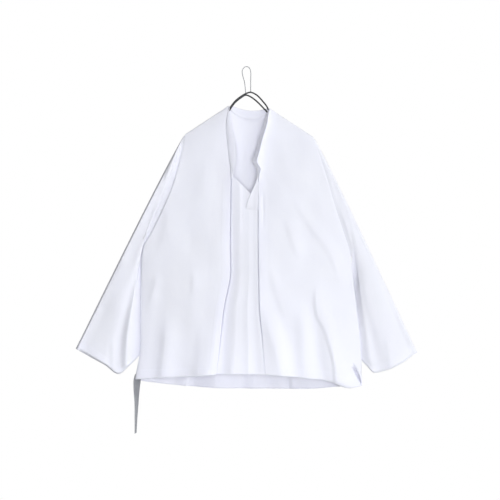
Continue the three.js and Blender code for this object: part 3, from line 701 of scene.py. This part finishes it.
def station_at(table, x, z):
    """The station v of a front that passes through a place on it, or its inner edge's at that height."""
    low, high = np.zeros_like(z), np.ones_like(z)
    for _ in range(HALVINGS):
        middle = (low + high) / 2
        in_x, in_z = curve(table, INNER_X, middle), curve(table, INNER_Z, middle)
        out_x, out_z = curve(table, OUTER_X, middle), curve(table, OUTER_Z, middle)
        height = lerp(in_z, out_z, np.clip((x - in_x) / (out_x - in_x), 0, 1))
        low = np.where(height > z, middle, low)
        high = np.where(height > z, high, middle)
    return (low + high) / 2


def inner_x(table, z):
    """x of a front's inner edge at a height."""
    return curve(table, INNER_X, station_at(table, np.zeros_like(z), z))


def centre_depth(x, z, layers):
    """Depth of a piece at the centre: it lies behind the fronts by layers of cloth and the pleat's recess."""
    left, right = inner_x(LEFT_FRONT, z), inner_x(RIGHT_FRONT, z)
    t = np.clip((x - left) / (right - left), 0, 1)
    by_left, by_right = np.minimum(x, left), np.maximum(x, right)
    left_depth = body_depth(FRONT, station_at(LEFT_FRONT, by_left, z), by_left, z)
    right_depth = body_depth(FRONT, station_at(RIGHT_FRONT, by_right, z), by_right, z)
    depth = lerp(left_depth, right_depth, smooth(t))
    mouths = pleat_mouth(1, x - left, z) + pleat_mouth(2, right - x, z)
    return depth - layers * LAYER - pleat_recess(x - left, t, z) - mouths


def pleat_recess(from_left, t, z):
    """The pleat's recess, by the distance from the left front's edge and the share t of the way to the right."""
    at_left, midway, at_right = (curve(CENTRE_RECESS, column, z) for column in (1, 2, 3))
    past_left, past_right = ramp(t, *LEFT_RECESS_FADE), ramp(t, *RIGHT_RECESS_FADE)
    beside_left = at_left * ramp(from_left, *LEFT_TURN) * (1 - past_left)
    beside_right = at_right * ramp(t, *RIGHT_TURN) * (1 - past_right)
    return np.maximum(beside_left + midway * past_left * past_right, beside_right)


def pleat_mouth(column, from_edge, z):
    """Depth of the narrow mouth beside one front's edge, from that edge's column of the table."""
    return curve(PLEAT_MOUTH, column, z) * bell(from_edge - PLEAT_MOUTH_FROM_EDGE, PLEAT_MOUTH_HALF_WIDTH)


def neck_top(x):
    """Height of the underlay's top edge: the V of the neck, and its ends behind the fronts."""
    edges = [NECK_V_LEFT, NECK_V_BOTTOM, NECK_V_RIGHT]
    ends = (NECK_V_LEFT[0] - CENTRE_LAP, NECK_V_RIGHT[0] + CENTRE_LAP)
    at = [ends[0], *(edge[0] for edge in edges), ends[1]]
    height = [CENTRE_TOP_BEHIND_FRONT, *(edge[1] for edge in edges), CENTRE_TOP_BEHIND_FRONT]
    return np.interp(x, at, height)


def centre_points(u, t):
    """The pleat's underlay, u from left to right and t downwards."""
    top_x = lerp(NECK_V_LEFT[0] - CENTRE_LAP, NECK_V_RIGHT[0] + CENTRE_LAP, u)
    z = lerp(neck_top(top_x), LEFT_FRONT[-1][INNER_Z] + 1, t)
    x = lerp(inner_x(LEFT_FRONT, z) - CENTRE_LAP, inner_x(RIGHT_FRONT, z) + CENTRE_LAP, u)
    x = lerp(top_x, x, smooth(t * 4))
    foot_z, foot_x = OVERLAP_EDGE[-1]
    behind_overlap = ramp(x - foot_x, *OVERLAP_BESIDE_FOOT) * ramp(z - foot_z, *OVERLAP_BELOW_FOOT)
    return np.stack([x, -centre_depth(x, z, 1 + behind_overlap), z], -1)


def overlap_points(u, t):
    """The right side of the neck slit, u from its free edge to its hidden one and t downwards."""
    (top_z, _), (foot_z, _) = OVERLAP_EDGE[0], OVERLAP_EDGE[-1]
    z = lerp(top_z, lerp(foot_z, OVERLAP_HIDDEN_FOOT, u), t)
    free_x = curve(OVERLAP_EDGE, 1, z)
    hidden_x = inner_x(RIGHT_FRONT, z) + OVERLAP_HIDDEN_WIDTH
    x = lerp(free_x, hidden_x, u)
    away = x - free_x
    lift = OVERLAP_LIFT * quarter(away / OVERLAP_LIFT_WIDTH) * np.exp(-away / OVERLAP_LIFT_FADE)
    lift = lift * (1 - ramp(t, 0.8, 1)) * ramp(t, 0, 0.1)
    sunk = OVERLAP_SINK * ramp(t, OVERLAP_SINK_FROM, 1)
    return np.stack([x, -centre_depth(x, z, np.ones_like(x)) - lift + sunk, z], -1)


# ---- neckband ----


def front_band_points(table, band, neck_side, w, t):
    """The strip that stands off the neck edge of one front: w from its seam to its free edge, t downwards."""
    v = lerp(BAND_TOP_V, band[-1][0], t)
    seam = front_points(table, np.zeros_like(v), v)
    aside, side, forward, up = (curve(band, column, v) for column in (1, 2, 3, 4))
    seam[..., 0] += neck_side * BAND_STANDOFF + aside
    at_top = 1 - ramp(v, 0, BAND_FORWARD_FOOT_V)
    seam[..., 1] -= BAND_FORWARD_AT_TOP * at_top + BAND_FORWARD_SHARE * np.abs(aside)
    bow = np.sin(np.pi * w) * ramp(t, 0, 0.1)
    sideways = side * w - neck_side * BAND_BOW * bow
    forwards = forward * (w + BAND_BOW_FORWARD * bow)
    return seam + np.stack([sideways, -forwards, up * w], -1)


def back_band_points(w, t):
    """The strip along the back of the neck: w from its seam to its free edge, t from left to right."""
    u = lerp(NECK_LEFT_U + BACK_BAND_INSET_U, NECK_RIGHT_U - BACK_BAND_INSET_U, t)
    seam = back_points(u, np.zeros_like(u))
    middle = (LEFT_FRONT[0][INNER_X] + RIGHT_FRONT[0][INNER_X]) / 2
    seam[..., 0] = lerp(seam[..., 0], middle, BACK_BAND_NARROWING)
    seam[..., 1] -= BACK_BAND_FORWARD
    seam[..., 2] -= BACK_BAND_BELOW_EDGE
    height = lerp(BACK_BAND_HEIGHT_AT_ENDS, BACK_BAND_HEIGHT, np.sin(np.pi * t) ** 0.5)
    return seam + np.stack([np.zeros_like(w), -BACK_BAND_LEAN * w, height * w], -1)


# ---- sleeves ----


def sleeve_tucked(t):
    """1 at a sleeve's seam edge, which lies under the body's cloth, and 0 a little further down."""
    return 1 - ramp(t, 0, SLEEVE_TUCK_T)


def sleeve_place(table, cuff, outward, s, t):
    """x and z of a point of a sleeve, t from the armhole (0) to the cuff (1)."""
    arm_v = s * UNDERARM_V
    gap = lerp(*ARMHOLE_GAP, ramp(s, 0.3, 0.8))
    x = lerp(curve(table, OUTER_X, arm_v) + outward * gap, curve(cuff, 1, s), t)
    z = lerp(curve(table, OUTER_Z, arm_v), curve(cuff, 2, s), t)
    turn = np.minimum(1, 3 * s) * lerp(SLEEVE_TURN_AT_UNDERARM, 1, 1 - s**6)
    x += outward * SLEEVE_TURN * turn * t / (t + SLEEVE_TURN_T) * (1 - t) ** 2
    x += outward * SLEEVE_BOW * np.sin(np.pi * t**0.6) * (1 - ramp(s, 0, 0.4))
    x -= outward * (gap + SLEEVE_TUCK) * sleeve_tucked(t)
    return x, z


def sleeve_depth(outward, creases, facing, s, t, x, z):
    """How far each sheet of a sleeve stands off its middle; facing is -1 on the front one and 1 on the back."""
    from_fold = beside(np.stack([x[:, 0], z[:, 0]], -1), x, z)[0]
    from_underarm = (1 - s) * lerp(ARMHOLE_LENGTH, CUFF_LENGTH, t)
    rounded = np.sin(np.pi / 2 * np.clip(from_fold / SLEEVE_EDGE_ROLL_WIDTH, 0, 1))
    rounded *= quarter(from_underarm / SLEEVE_UNDERARM_ROLL_WIDTH)
    cuff_depth = CUFF_HALF_DEPTH * np.sin(np.pi * s) ** 0.7
    full = lerp(curve(BODY_DEPTH, EDGE, s * UNDERARM_V), cuff_depth, smooth(t))
    roll = curve(SLEEVE_EDGE_ROLL, 1 if outward < 0 else 2, t) * ramp(t, 0, 0.05)
    depth = np.maximum(full, lerp(full, roll, bell(from_fold, SLEEVE_EDGE_ROLL_FLANK))) * rounded
    trough = bell(s - SLEEVE_TROUGH_S, SLEEVE_TROUGH_WIDTH) * ramp(t, *SLEEVE_TROUGH_DEEPENS)
    depth -= np.where(facing < 0, *SLEEVE_TROUGH_DEPTH) * trough * ramp(from_underarm, 0, 25)
    creased = np.where(facing < 0, *(crease_reach(sheet, x, z) for sheet in creases))
    calm = ramp(np.minimum(from_fold, from_underarm), 0, SLEEVE_SEAM_CALM) * ramp(t, 0, 0.03)
    depth += (creased + SLEEVE_DRIFT * drift(x, z, facing)) * calm
    curled = 1 - np.sin(np.pi / 2 * np.clip(SLEEVE_LENGTH * (1 - t) / CUFF_CURL_LENGTH, 0, 1))
    curl = np.minimum(CUFF_CURL, CUFF_CURL_MOST * cuff_depth * rounded) * curled
    return depth - (SLEEVE_TUCK_FLATTER * sleeve_tucked(t) + curl)


def sleeve_points(table, cuff, outward, creases, across, down):
    """The rings of a sleeve: down the front sheet from the top fold to the underarm, and up the back sheet.

    across holds the shares s of one sheet's width, and down the shares t of the sleeve's length.
    """
    s, t = np.meshgrid(np.concatenate([across, across[-2:0:-1]]), down)
    facing = np.broadcast_to(np.where(np.arange(s.shape[1]) < len(across), -1.0, 1.0), s.shape)
    x, z = sleeve_place(table, cuff, outward, s, t)
    depth = sleeve_depth(outward, creases, facing, s, t, x, z)
    y = SLEEVE_SET_BACK * smooth(t * 3) * s**2 + facing * depth
    return np.stack([x, y, z], -1)


# ---- meshes ----

DOME_RINGS = 3


def unit(vectors):
    return vectors / np.maximum(np.linalg.norm(vectors, axis=-1, keepdims=True), 1e-9)


def grid_normals(grid, ring):
    across = np.gradient(grid, axis=1)
    if ring:
        across = np.roll(grid, -1, axis=1) - np.roll(grid, 1, axis=1)
    return unit(np.cross(np.gradient(grid, axis=0), across))


def grain(grid):
    """Distances across and along the cloth, in metres, for the weave to follow."""
    across = np.linalg.norm(np.diff(grid, axis=1), axis=2).cumsum(axis=1)
    across = np.hstack([np.zeros((len(grid), 1)), across])
    along = np.linalg.norm(np.diff(grid, axis=0), axis=2).cumsum(axis=0)
    along = np.vstack([np.zeros((1, grid.shape[1])), along])
    across -= across[:, across.shape[1] // 2, None]
    return np.stack([across, along, np.zeros_like(across)], -1).reshape(-1, 3) * MM


def cells(index, ring=False):
    """Quads between the rows and columns of a grid of vertex numbers."""
    if ring:
        index = np.hstack([index, index[:, :1]])
    corners = index[:-1, :-1], index[1:, :-1], index[1:, 1:], index[:-1, 1:]
    return np.stack(corners, -1).reshape(-1, 4)


def wall_mesh(name, grid, wall, ring=False):
    """A closed wall with rounded rims around a grid of middle points; wall is its thickness there."""
    rows, columns = grid.shape[:2]
    wall = np.broadcast_to(wall, (rows, columns))
    offset = grid_normals(grid, ring) * wall[..., None] / 2
    index = np.arange(rows * columns).reshape(rows, columns)
    back = rows * columns
    points = [(grid + offset).reshape(-1, 3), (grid - offset).reshape(-1, 3)]
    origin = [index.ravel(), index.ravel()]
    faces = [cells(index, ring), cells(index + back, ring)[:, ::-1]]
    rims = [(index[0], index[1], ring, False), (index[-1], index[-2], ring, True)]
    if not ring:
        rims += [(index[:, 0], index[:, 1], False, True), (index[:, -1], index[:, -2], False, False)]
    flat = grid.reshape(-1, 3)
    count = 2 * back
    rim_rows = []
    for edge, inward, round_trip, turned in rims:
        out = unit(flat[edge] - flat[inward])
        points.append(flat[edge] + out * wall.reshape(-1, 1)[edge] * RIM_BULGE)
        origin.append(edge)
        rim = np.arange(count, count + len(edge))
        rim_rows.append(rim)
        count += len(edge)
        strip = np.vstack([cells(np.stack(pair), round_trip) for pair in ((edge, rim), (rim, edge + back))])
        faces.append(strip if turned else strip[:, ::-1])
    if not ring:
        faces.append(corner_faces(index, back, rim_rows))
    return closed_mesh(name, np.vstack(points), np.vstack(faces), grain(grid)[np.concatenate(origin)])


def corner_faces(index, back, rim_rows):
    """The quads that close a wall's four corners, each between the rims of two edges."""
    top, bottom, left, right = rim_rows
    corners = [
        (index[0, 0], top[0], left[0]),
        (index[0, -1], right[0], top[-1]),
        (index[-1, 0], left[-1], bottom[0]),
        (index[-1, -1], bottom[-1], right[-1]),
    ]
    return np.array([(corner, after, corner + back, before) for corner, after, before in corners])


def closed_mesh(name, points, faces, weave=None):
    """A Blender mesh from points in millimetres and quads, with its faces turned outwards."""
    a, b, c, d = (points[faces[:, k]] for k in range(4))
    volume = np.einsum("ij,ij->", a, np.cross(b, c)) + np.einsum("ij,ij->", a, np.cross(c, d))
    if volume < 0:
        faces = faces[:, ::-1]
    mesh = smooth_mesh(name, points, faces.tolist())
    if weave is not None:
        mesh.attributes.new("grain", "FLOAT_VECTOR", "POINT").data.foreach_set("vector", weave.ravel())
    return mesh


def smooth_mesh(name, points, faces):
    """A smoothly shaded Blender mesh from points in millimetres and the lists of each face's points."""
    mesh = bpy.data.meshes.new(name)
    mesh.from_pydata((points * MM).tolist(), [], faces)
    mesh.shade_smooth()
    mesh.update()
    return mesh


def domed(path, ahead, radius):
    """A tube's path, its directions and its radii, with the rings of a round end added before and after."""
    turn = np.linspace(0, np.pi / 2, DOME_RINGS + 2)[1:-1]
    out, wide = radius * np.cos(turn), radius * np.sin(turn)
    start = path[0] - ahead[0] * out[:, None]
    end = path[-1] + ahead[-1] * out[::-1, None]
    first, last = (np.repeat(direction[None], DOME_RINGS, 0) for direction in (ahead[0], ahead[-1]))
    radii = np.concatenate([wide, np.full(len(path), float(radius)), wide[::-1]])
    return np.vstack([start, path, end]), np.vstack([first, ahead, last]), radii


def fan(tip, ring):
    """Triangles between the tip of a tube's end and the ring beside it."""
    return np.stack([np.full(len(ring), tip), ring, np.roll(ring, -1)], -1).tolist()


def tube_mesh(name, path, radius, sides=20, closed=False):
    """A round tube along points in millimetres, its ends domed unless it closes on itself."""
    centre = path = np.array(path, float)
    if closed:
        ahead = unit(np.roll(path, -1, axis=0) - np.roll(path, 1, axis=0))
        radii = np.full(len(path), float(radius))
    else:
        ahead = unit(np.gradient(path, axis=0))
        tips = [path[0] - ahead[0] * radius, path[-1] + ahead[-1] * radius]
        centre, ahead, radii = domed(path, ahead, radius)
    side = unit(np.cross(ahead, [0, 1, 0]))
    up = np.cross(side, ahead)
    turn = np.linspace(0, 2 * np.pi, sides, endpoint=False)[None, :, None]
    spokes = side[:, None] * np.cos(turn) + up[:, None] * np.sin(turn)
    points = (centre[:, None] + radii[:, None, None] * spokes).reshape(-1, 3)
    index = np.arange(len(points)).reshape(-1, sides)
    if closed:
        return closed_mesh(name, points, cells(np.vstack([index, index[:1]]), True))
    caps = fan(len(points), index[0]) + fan(len(points) + 1, index[-1][::-1])
    return smooth_mesh(name, np.vstack([points, *tips]), cells(index, True).tolist() + caps)


# ---- materials ----


def add_node(tree, kind, inputs=None, **settings):
    """A new node with the settings given. inputs holds a value or another node's socket for each input."""
    made = tree.nodes.new(kind)
    for name, value in settings.items():
        setattr(made, name, value)
    for name, value in (inputs or {}).items():
        if isinstance(value, bpy.types.NodeSocket):
            tree.links.new(value, made.inputs[name])
        else:
            made.inputs[name].default_value = value
    return made


def new_material(name):
    made = bpy.data.materials.new(name)
    made.use_nodes = True
    return made, made.node_tree, made.node_tree.nodes["Principled BSDF"]


def maths(tree, operation, first, second=0.0):
    return add_node(tree, "ShaderNodeMath", {0: first, 1: second}, operation=operation).outputs[0]


def stretched_noise(tree, vector, scale, detail=3.0):
    """Noise whose scale differs along each axis of the vector."""
    scaled = add_node(tree, "ShaderNodeVectorMath", {0: vector, 1: scale}, operation="MULTIPLY").outputs[0]
    noise = add_node(tree, "ShaderNodeTexNoise", {"Vector": scaled, "Scale": 1.0, "Detail": detail})
    return noise.outputs["Fac"]


def tinted(tree, share, low, high):
    """A colour between low and high by a share from 0 to 1."""
    mix = add_node(tree, "ShaderNodeMix", {"Factor": share}, data_type="RGBA")
    mix.inputs[6].default_value = (*low, 1)
    mix.inputs[7].default_value = (*high, 1)
    return mix.outputs[2]


def bumps(tree, layers):
    """A chain of bump nodes: for each layer its height, its distance in metres and its strength."""
    normal = None
    for height, distance, strength in layers:
        inputs = {"Height": height, "Distance": distance, "Strength": strength}
        if normal is not None:
            inputs["Normal"] = normal
        normal = add_node(tree, "ShaderNodeBump", inputs).outputs["Normal"]
    return normal


def woven_material(name, low, high, pitch, ribs, crumple, roughness, sheen):
    """Plain woven cloth: threads that cross, slubs along both, a slow change of tone and fine crumples."""
    made, tree, shader = new_material(name)
    weave = add_node(tree, "ShaderNodeAttribute", attribute_name="grain").outputs["Vector"]
    place = add_node(tree, "ShaderNodeTexCoord").outputs["Object"]
    axes = add_node(tree, "ShaderNodeSeparateXYZ", {0: weave})
    turns = 2 * np.pi / pitch
    warp = maths(tree, "SINE", maths(tree, "MULTIPLY", axes.outputs["X"], turns))
    weft = maths(tree, "SINE", maths(tree, "MULTIPLY", axes.outputs["Y"], turns * ribs))
    threads = maths(tree, "MULTIPLY", warp, weft)
    warp_slub = stretched_noise(tree, weave, (1400, 26, 1))
    weft_slub = stretched_noise(tree, weave, (22, 1300, 1))
    slub = maths(tree, "ADD", warp_slub, weft_slub)
    tone = stretched_noise(tree, place, (9, 9, 6), 2.0)
    crumples = stretched_noise(tree, place, (52, 52, 34), 5.0)
    share = maths(tree, "ADD", maths(tree, "MULTIPLY", slub, 0.35), maths(tree, "MULTIPLY", tone, 0.5))
    share = maths(tree, "ADD", share, maths(tree, "MULTIPLY", threads, 0.12))
    tree.links.new(tinted(tree, share, low, high), shader.inputs["Base Color"])
    rough = add_node(tree, "ShaderNodeMapRange", {"Value": slub, "From Min": 0.6, "From Max": 1.4})
    rough.inputs["To Min"].default_value, rough.inputs["To Max"].default_value = roughness
    tree.links.new(rough.outputs[0], shader.inputs["Roughness"])
    layers = [(crumples, crumple, 0.5), (slub, 0.00012, 0.5), (threads, 0.00006, 0.5)]
    tree.links.new(bumps(tree, layers), shader.inputs["Normal"])
    shader.inputs["Sheen Weight"].default_value = sheen
    shader.inputs["Subsurface Weight"].default_value = 1.0
    shader.inputs["Subsurface Radius"].default_value = (1, 1, 1)
    shader.inputs["Subsurface Scale"].default_value = 0.001
    shader.inputs["Specular IOR Level"].default_value = 0.25
    return made


def wire_material(name, low, high, metallic, roughness, grain_height):
    """Drawn wire: fine specks and broad patches, as paint or bare metal."""
    made, tree, shader = new_material(name)
    place = add_node(tree, "ShaderNodeTexCoord").outputs["Object"]
    specks = stretched_noise(tree, place, (900, 900, 900), 4.0)
    patches = stretched_noise(tree, place, (60, 60, 60), 3.0)
    tree.links.new(tinted(tree, patches, low, high), shader.inputs["Base Color"])
    rough = add_node(tree, "ShaderNodeMapRange", {"Value": patches, "From Min": 0.3, "From Max": 0.7})
    rough.inputs["To Min"].default_value, rough.inputs["To Max"].default_value = roughness
    tree.links.new(rough.outputs[0], shader.inputs["Roughness"])
    tree.links.new(bumps(tree, [(specks, grain_height, 0.6)]), shader.inputs["Normal"])
    shader.inputs["Metallic"].default_value = metallic
    return made


def floor_material():
    made, tree, shader = new_material("pale_floor")
    place = add_node(tree, "ShaderNodeTexCoord").outputs["Object"]
    cloudy = stretched_noise(tree, place, (3, 3, 3), 4.0)
    tree.links.new(tinted(tree, cloudy, (0.78, 0.78, 0.79), (0.84, 0.84, 0.85)), shader.inputs["Base Color"])
    shader.inputs["Roughness"].default_value = 0.7
    return made


WHITE_CLOTH = woven_material(
    "white_cloth_finish",
    low=(0.825, 0.828, 0.915),
    high=(0.88, 0.877, 0.95),
    pitch=0.00085,
    ribs=1,
    crumple=0.0011,
    roughness=(0.8, 0.95),
    sheen=0.12,
)
GREY_TAPE = woven_material(
    "grey_tape_finish",
    low=(0.25, 0.255, 0.27),
    high=(0.34, 0.345, 0.36),
    pitch=0.0012,
    ribs=2,
    crumple=0.0004,
    roughness=(0.7, 0.9),
    sheen=0.1,
)
BLACK_WIRE = wire_material(
    "black_wire_finish",
    low=(0.012, 0.012, 0.014),
    high=(0.03, 0.03, 0.033),
    metallic=0.0,
    roughness=(0.28, 0.42),
    grain_height=0.00006,
)
PALE_WIRE = wire_material(
    "pale_wire_finish",
    low=(0.3, 0.305, 0.32),
    high=(0.42, 0.425, 0.44),
    metallic=0.6,
    roughness=(0.35, 0.5),
    grain_height=0.00003,
)

# ---- pieces ----


def add_piece(node, mesh, finish):
    """A finished piece on the frame's one body that stands for a CAD node."""
    piece = bpy.data.objects.new(f"{node}_finished", mesh)
    bpy.context.scene.collection.objects.link(piece)
    mesh.materials.append(finish)
    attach(piece, BODY)
    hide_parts(node)
    return piece


def hem_wall(from_edges):
    """Cloth's thickness by the distances from its turned edges, with the groove of the stitches along them."""
    wall = CLOTH_WALL
    for distance in from_edges:
        past_hem = ramp(distance, HEM_DEPTH, HEM_DEPTH + HEM_STEP)
        wall = np.maximum(wall, lerp(HEM_WALL, CLOTH_WALL, past_hem))
    for distance in from_edges:
        wall = wall - STITCH_GROOVE * bell(distance - HEM_DEPTH + STITCH_INSET, STITCH_HALF_WIDTH)
    return wall


def add_front(name, table):
    u, v = np.meshgrid(crowded(100, 4, 9), crowded(180, 7, 4))
    grid = front_points(table, u, v)
    from_hem = (1 - v) * FRONT_LENGTH
    from_centre = np.where(v < BAND_FOOT_V, np.inf, np.abs(grid[..., 0] - curve(table, INNER_X, v)))
    mesh = wall_mesh(name, grid, hem_wall([from_hem, from_centre]))
    return add_piece(name, mesh, WHITE_CLOTH)


def add_back():
    u, v = np.meshgrid(crowded(200, 6, 6, 0.03), crowded(170, 7, 4))
    mesh = wall_mesh("back", back_points(u, v), hem_wall([(1 - v) * BACK_LENGTH]))
    return add_piece("back", mesh, WHITE_CLOTH)


def add_centre():
    u, t = np.meshgrid(crowded(130, 5, 2, 0.3), crowded(150, 4, 3))
    mesh = wall_mesh("front_centre", centre_points(u, t), CLOTH_WALL)
    return add_piece("front_centre", mesh, WHITE_CLOTH)


def add_overlap():
    u, t = np.meshgrid(crowded(30, 3, 0), crowded(50, 2, 2))
    wall = lerp(CLOTH_WALL, CLOTH_WALL / 3, smooth((t - 0.85) / 0.15))
    mesh = wall_mesh("neck_overlap", overlap_points(u, t), wall)
    return add_piece("neck_overlap", mesh, WHITE_CLOTH)


def add_band(name, points):
    w, t = np.meshgrid(crowded(16, 2, 3, 0.1), crowded(120, 2, 2))
    wall = lerp(CLOTH_WALL / 2, BAND_WALL, smooth(w / 0.3))
    return add_piece(name, wall_mesh(name, points(w, t), wall), WHITE_CLOTH)


def add_sleeve(name, table, cuff, outward, creases):
    down = crowded(130, 4, 7)
    grid = sleeve_points(table, cuff, outward, creases, crowded(80, 9, 6), down)
    mesh = wall_mesh(name, grid, hem_wall([(1 - down[:, None]) * SLEEVE_LENGTH]), ring=True)
    return add_piece(name, mesh, WHITE_CLOTH)


def add_tie():
    w, z = np.meshgrid(np.linspace(-0.5, 0.5, 13), np.linspace(TIE_PATH[0][0], TIE_PATH[-1][0], 120))
    turn = np.radians(curve(TIE_PATH, 3, z))
    cup = TIE_CUP * (1 - (2 * w) ** 2)
    x = curve(TIE_PATH, 1, z) + w * TIE_WIDTH * np.cos(turn) - cup * np.sin(turn)
    y = curve(TIE_PATH, 2, z) + w * TIE_WIDTH * np.sin(turn) + cup * np.cos(turn)
    mesh = wall_mesh("side_tie", np.stack([x, y, z], -1), TIE_WALL)
    return add_piece("side_tie", mesh, GREY_TAPE)


def under_shoulder(table, u, drop):
    """A point of the wire under a shoulder's ridge, drop deeper than the upper wire; u runs outwards."""
    _, in_x, in_z, out_x, out_z = table[0]
    run = unit(np.array([out_x - in_x, 0, out_z - in_z], float))
    down = np.array([run[2], 0, -run[0]]) * np.sign(run[0])
    return np.array([lerp(in_x, out_x, u), 0, lerp(in_z, out_z, u)]) + down * (RIDGE_OVER_WIRE + drop)


def hanger_path():
    """One loop of wire: the upper wire from left to right, and the lower one back again."""
    def wire(column, drop, aside):
        arms = [
            [under_shoulder(table, u, drop if u < HANGER_REACH else drop / 2) for u in HANGER_ARM_STATIONS]
            for table in (LEFT_FRONT, RIGHT_FRONT)
        ]
        neck = [np.array([row[0], aside, row[column]]) for row in HANGER_NECK]
        return [*arms[0][::-1], *neck, *arms[1]]

    upper, lower = wire(1, 0, -WIRE_ASIDE), wire(2, HANGER_LOWER_DROP, WIRE_ASIDE)
    ends = [under_shoulder(table, HANGER_END, HANGER_END_DROP) for table in (LEFT_FRONT, RIGHT_FRONT)]
    whole = [*upper, ends[1], *lower[::-1], ends[0], upper[0]]
    return smooth_path(whole, 520)[:-1]


def add_hanger():
    mesh = tube_mesh("hanger", hanger_path(), WIRE_RADIUS, closed=True)
    return add_piece("hanger", mesh, BLACK_WIRE)


def add_loop():
    upper_wire = [row[:2] for row in HANGER_NECK]
    feet = [(x, curve(upper_wire, 1, x) + WIRE_RADIUS + LOOP_WIRE_RADIUS) for x in LOOP_FEET_X]
    path = [(x, 0, z) for x, z in (feet[0], *LOOP_SHAPE, feet[1])]
    mesh = tube_mesh("hang_loop", smooth_path(path, 160), LOOP_WIRE_RADIUS, sides=14)
    return add_piece("hang_loop", mesh, PALE_WIRE)


front_left = add_front("front_left", LEFT_FRONT)
front_right = add_front("front_right", RIGHT_FRONT)
back_piece = add_back()
front_centre = add_centre()
neck_overlap = add_overlap()
neckband_left = add_band("neckband_left", lambda w, t: front_band_points(LEFT_FRONT, LEFT_BAND, 1, w, t))
neckband_right = add_band("neckband_right", lambda w, t: front_band_points(RIGHT_FRONT, RIGHT_BAND, -1, w, t))
neckband_back = add_band("neckband_back", back_band_points)
sleeve_left = add_sleeve("sleeve_left", LEFT_FRONT, LEFT_CUFF, -1, LEFT_SLEEVE_CREASES)
sleeve_right = add_sleeve("sleeve_right", RIGHT_FRONT, RIGHT_CUFF, 1, RIGHT_SLEEVE_CREASES)
side_tie = add_tie()
hanger = add_hanger()
add_loop()

# ---- floor, light and camera ----

FLOOR_Z = -1.28
FLOOR_RADIUS = 0.62
LIGHT_TINT = (0.95, 0.968, 1.0)
WORLD_LIGHT = 0.79
WORLD_DARK = 0.04
DARK_FROM = (-0.89, 0.0, -0.45)


def add_floor():
    place = (0, 0, FLOOR_Z)
    bpy.ops.mesh.primitive_circle_add(vertices=160, radius=FLOOR_RADIUS, fill_type="NGON", location=place)
    floor = bpy.context.object
    floor.name = "floor"
    floor.data.materials.append(floor_material())


def light_world():
    """White to look at; its light is even, but for a dark side on the left and below that draws the edges."""
    world = bpy.data.worlds.new("studio")
    world.use_nodes = True
    bpy.context.scene.world = world
    tree = world.node_tree
    tree.nodes.clear()
    towards = add_node(tree, "ShaderNodeTexCoord").outputs["Generated"]
    facing = add_node(tree, "ShaderNodeVectorMath", {0: towards, 1: DARK_FROM}, operation="DOT_PRODUCT")
    share = add_node(
        tree,
        "ShaderNodeMapRange",
        {"Value": facing.outputs["Value"], "From Min": -0.15, "From Max": 0.45, "To Min": WORLD_LIGHT},
        interpolation_type="SMOOTHSTEP",
    )
    share.inputs["To Max"].default_value = WORLD_DARK
    inputs = {"Color": (*LIGHT_TINT, 1), "Strength": share.outputs[0]}
    lighting = add_node(tree, "ShaderNodeBackground", inputs)
    seen = add_node(tree, "ShaderNodeBackground", {"Color": (1, 1, 1, 1), "Strength": 1.0})
    to_camera = add_node(tree, "ShaderNodeLightPath").outputs["Is Camera Ray"]
    mix = add_node(tree, "ShaderNodeMixShader", {0: to_camera, 1: lighting.outputs[0], 2: seen.outputs[0]})
    output = add_node(tree, "ShaderNodeOutputWorld")
    tree.links.new(mix.outputs[0], output.inputs["Surface"])


def aim(item, target):
    item.rotation_mode = "QUATERNION"
    item.rotation_quaternion = (Vector(target) - item.location).to_track_quat("-Z", "Y")


def add_area_light(name, place, size, power):
    light = bpy.data.lights.new(name, "AREA")
    light.size = size
    light.energy = power
    light.color = LIGHT_TINT
    item = bpy.data.objects.new(name, light)
    item.location = place
    bpy.context.scene.collection.objects.link(item)
    aim(item, (0, 0, -0.45))


def add_camera():
    camera = bpy.data.objects.new("camera", bpy.data.cameras.new("camera"))
    camera.data.sensor_width = SENSOR_WIDTH
    camera.data.lens = SENSOR_WIDTH * CAMERA_DISTANCE / VIEW_WIDTH
    camera.location = (VIEW_CENTRE_X, -CAMERA_DISTANCE, VIEW_CENTRE_Z)
    bpy.context.scene.collection.objects.link(camera)
    aim(camera, (VIEW_CENTRE_X, 0, VIEW_CENTRE_Z))
    bpy.context.scene.camera = camera


add_floor()
light_world()
add_area_light("key", (0.1, -3.3, -0.7), 1.3, 62)
add_area_light("side_fill", (3.0, -0.9, -0.4), 1.2, 7)
add_area_light("back_fill", (1.3, 2.8, 0.2), 1.8, 30)
add_camera()
bpy.context.scene.view_settings.view_transform = "Standard"
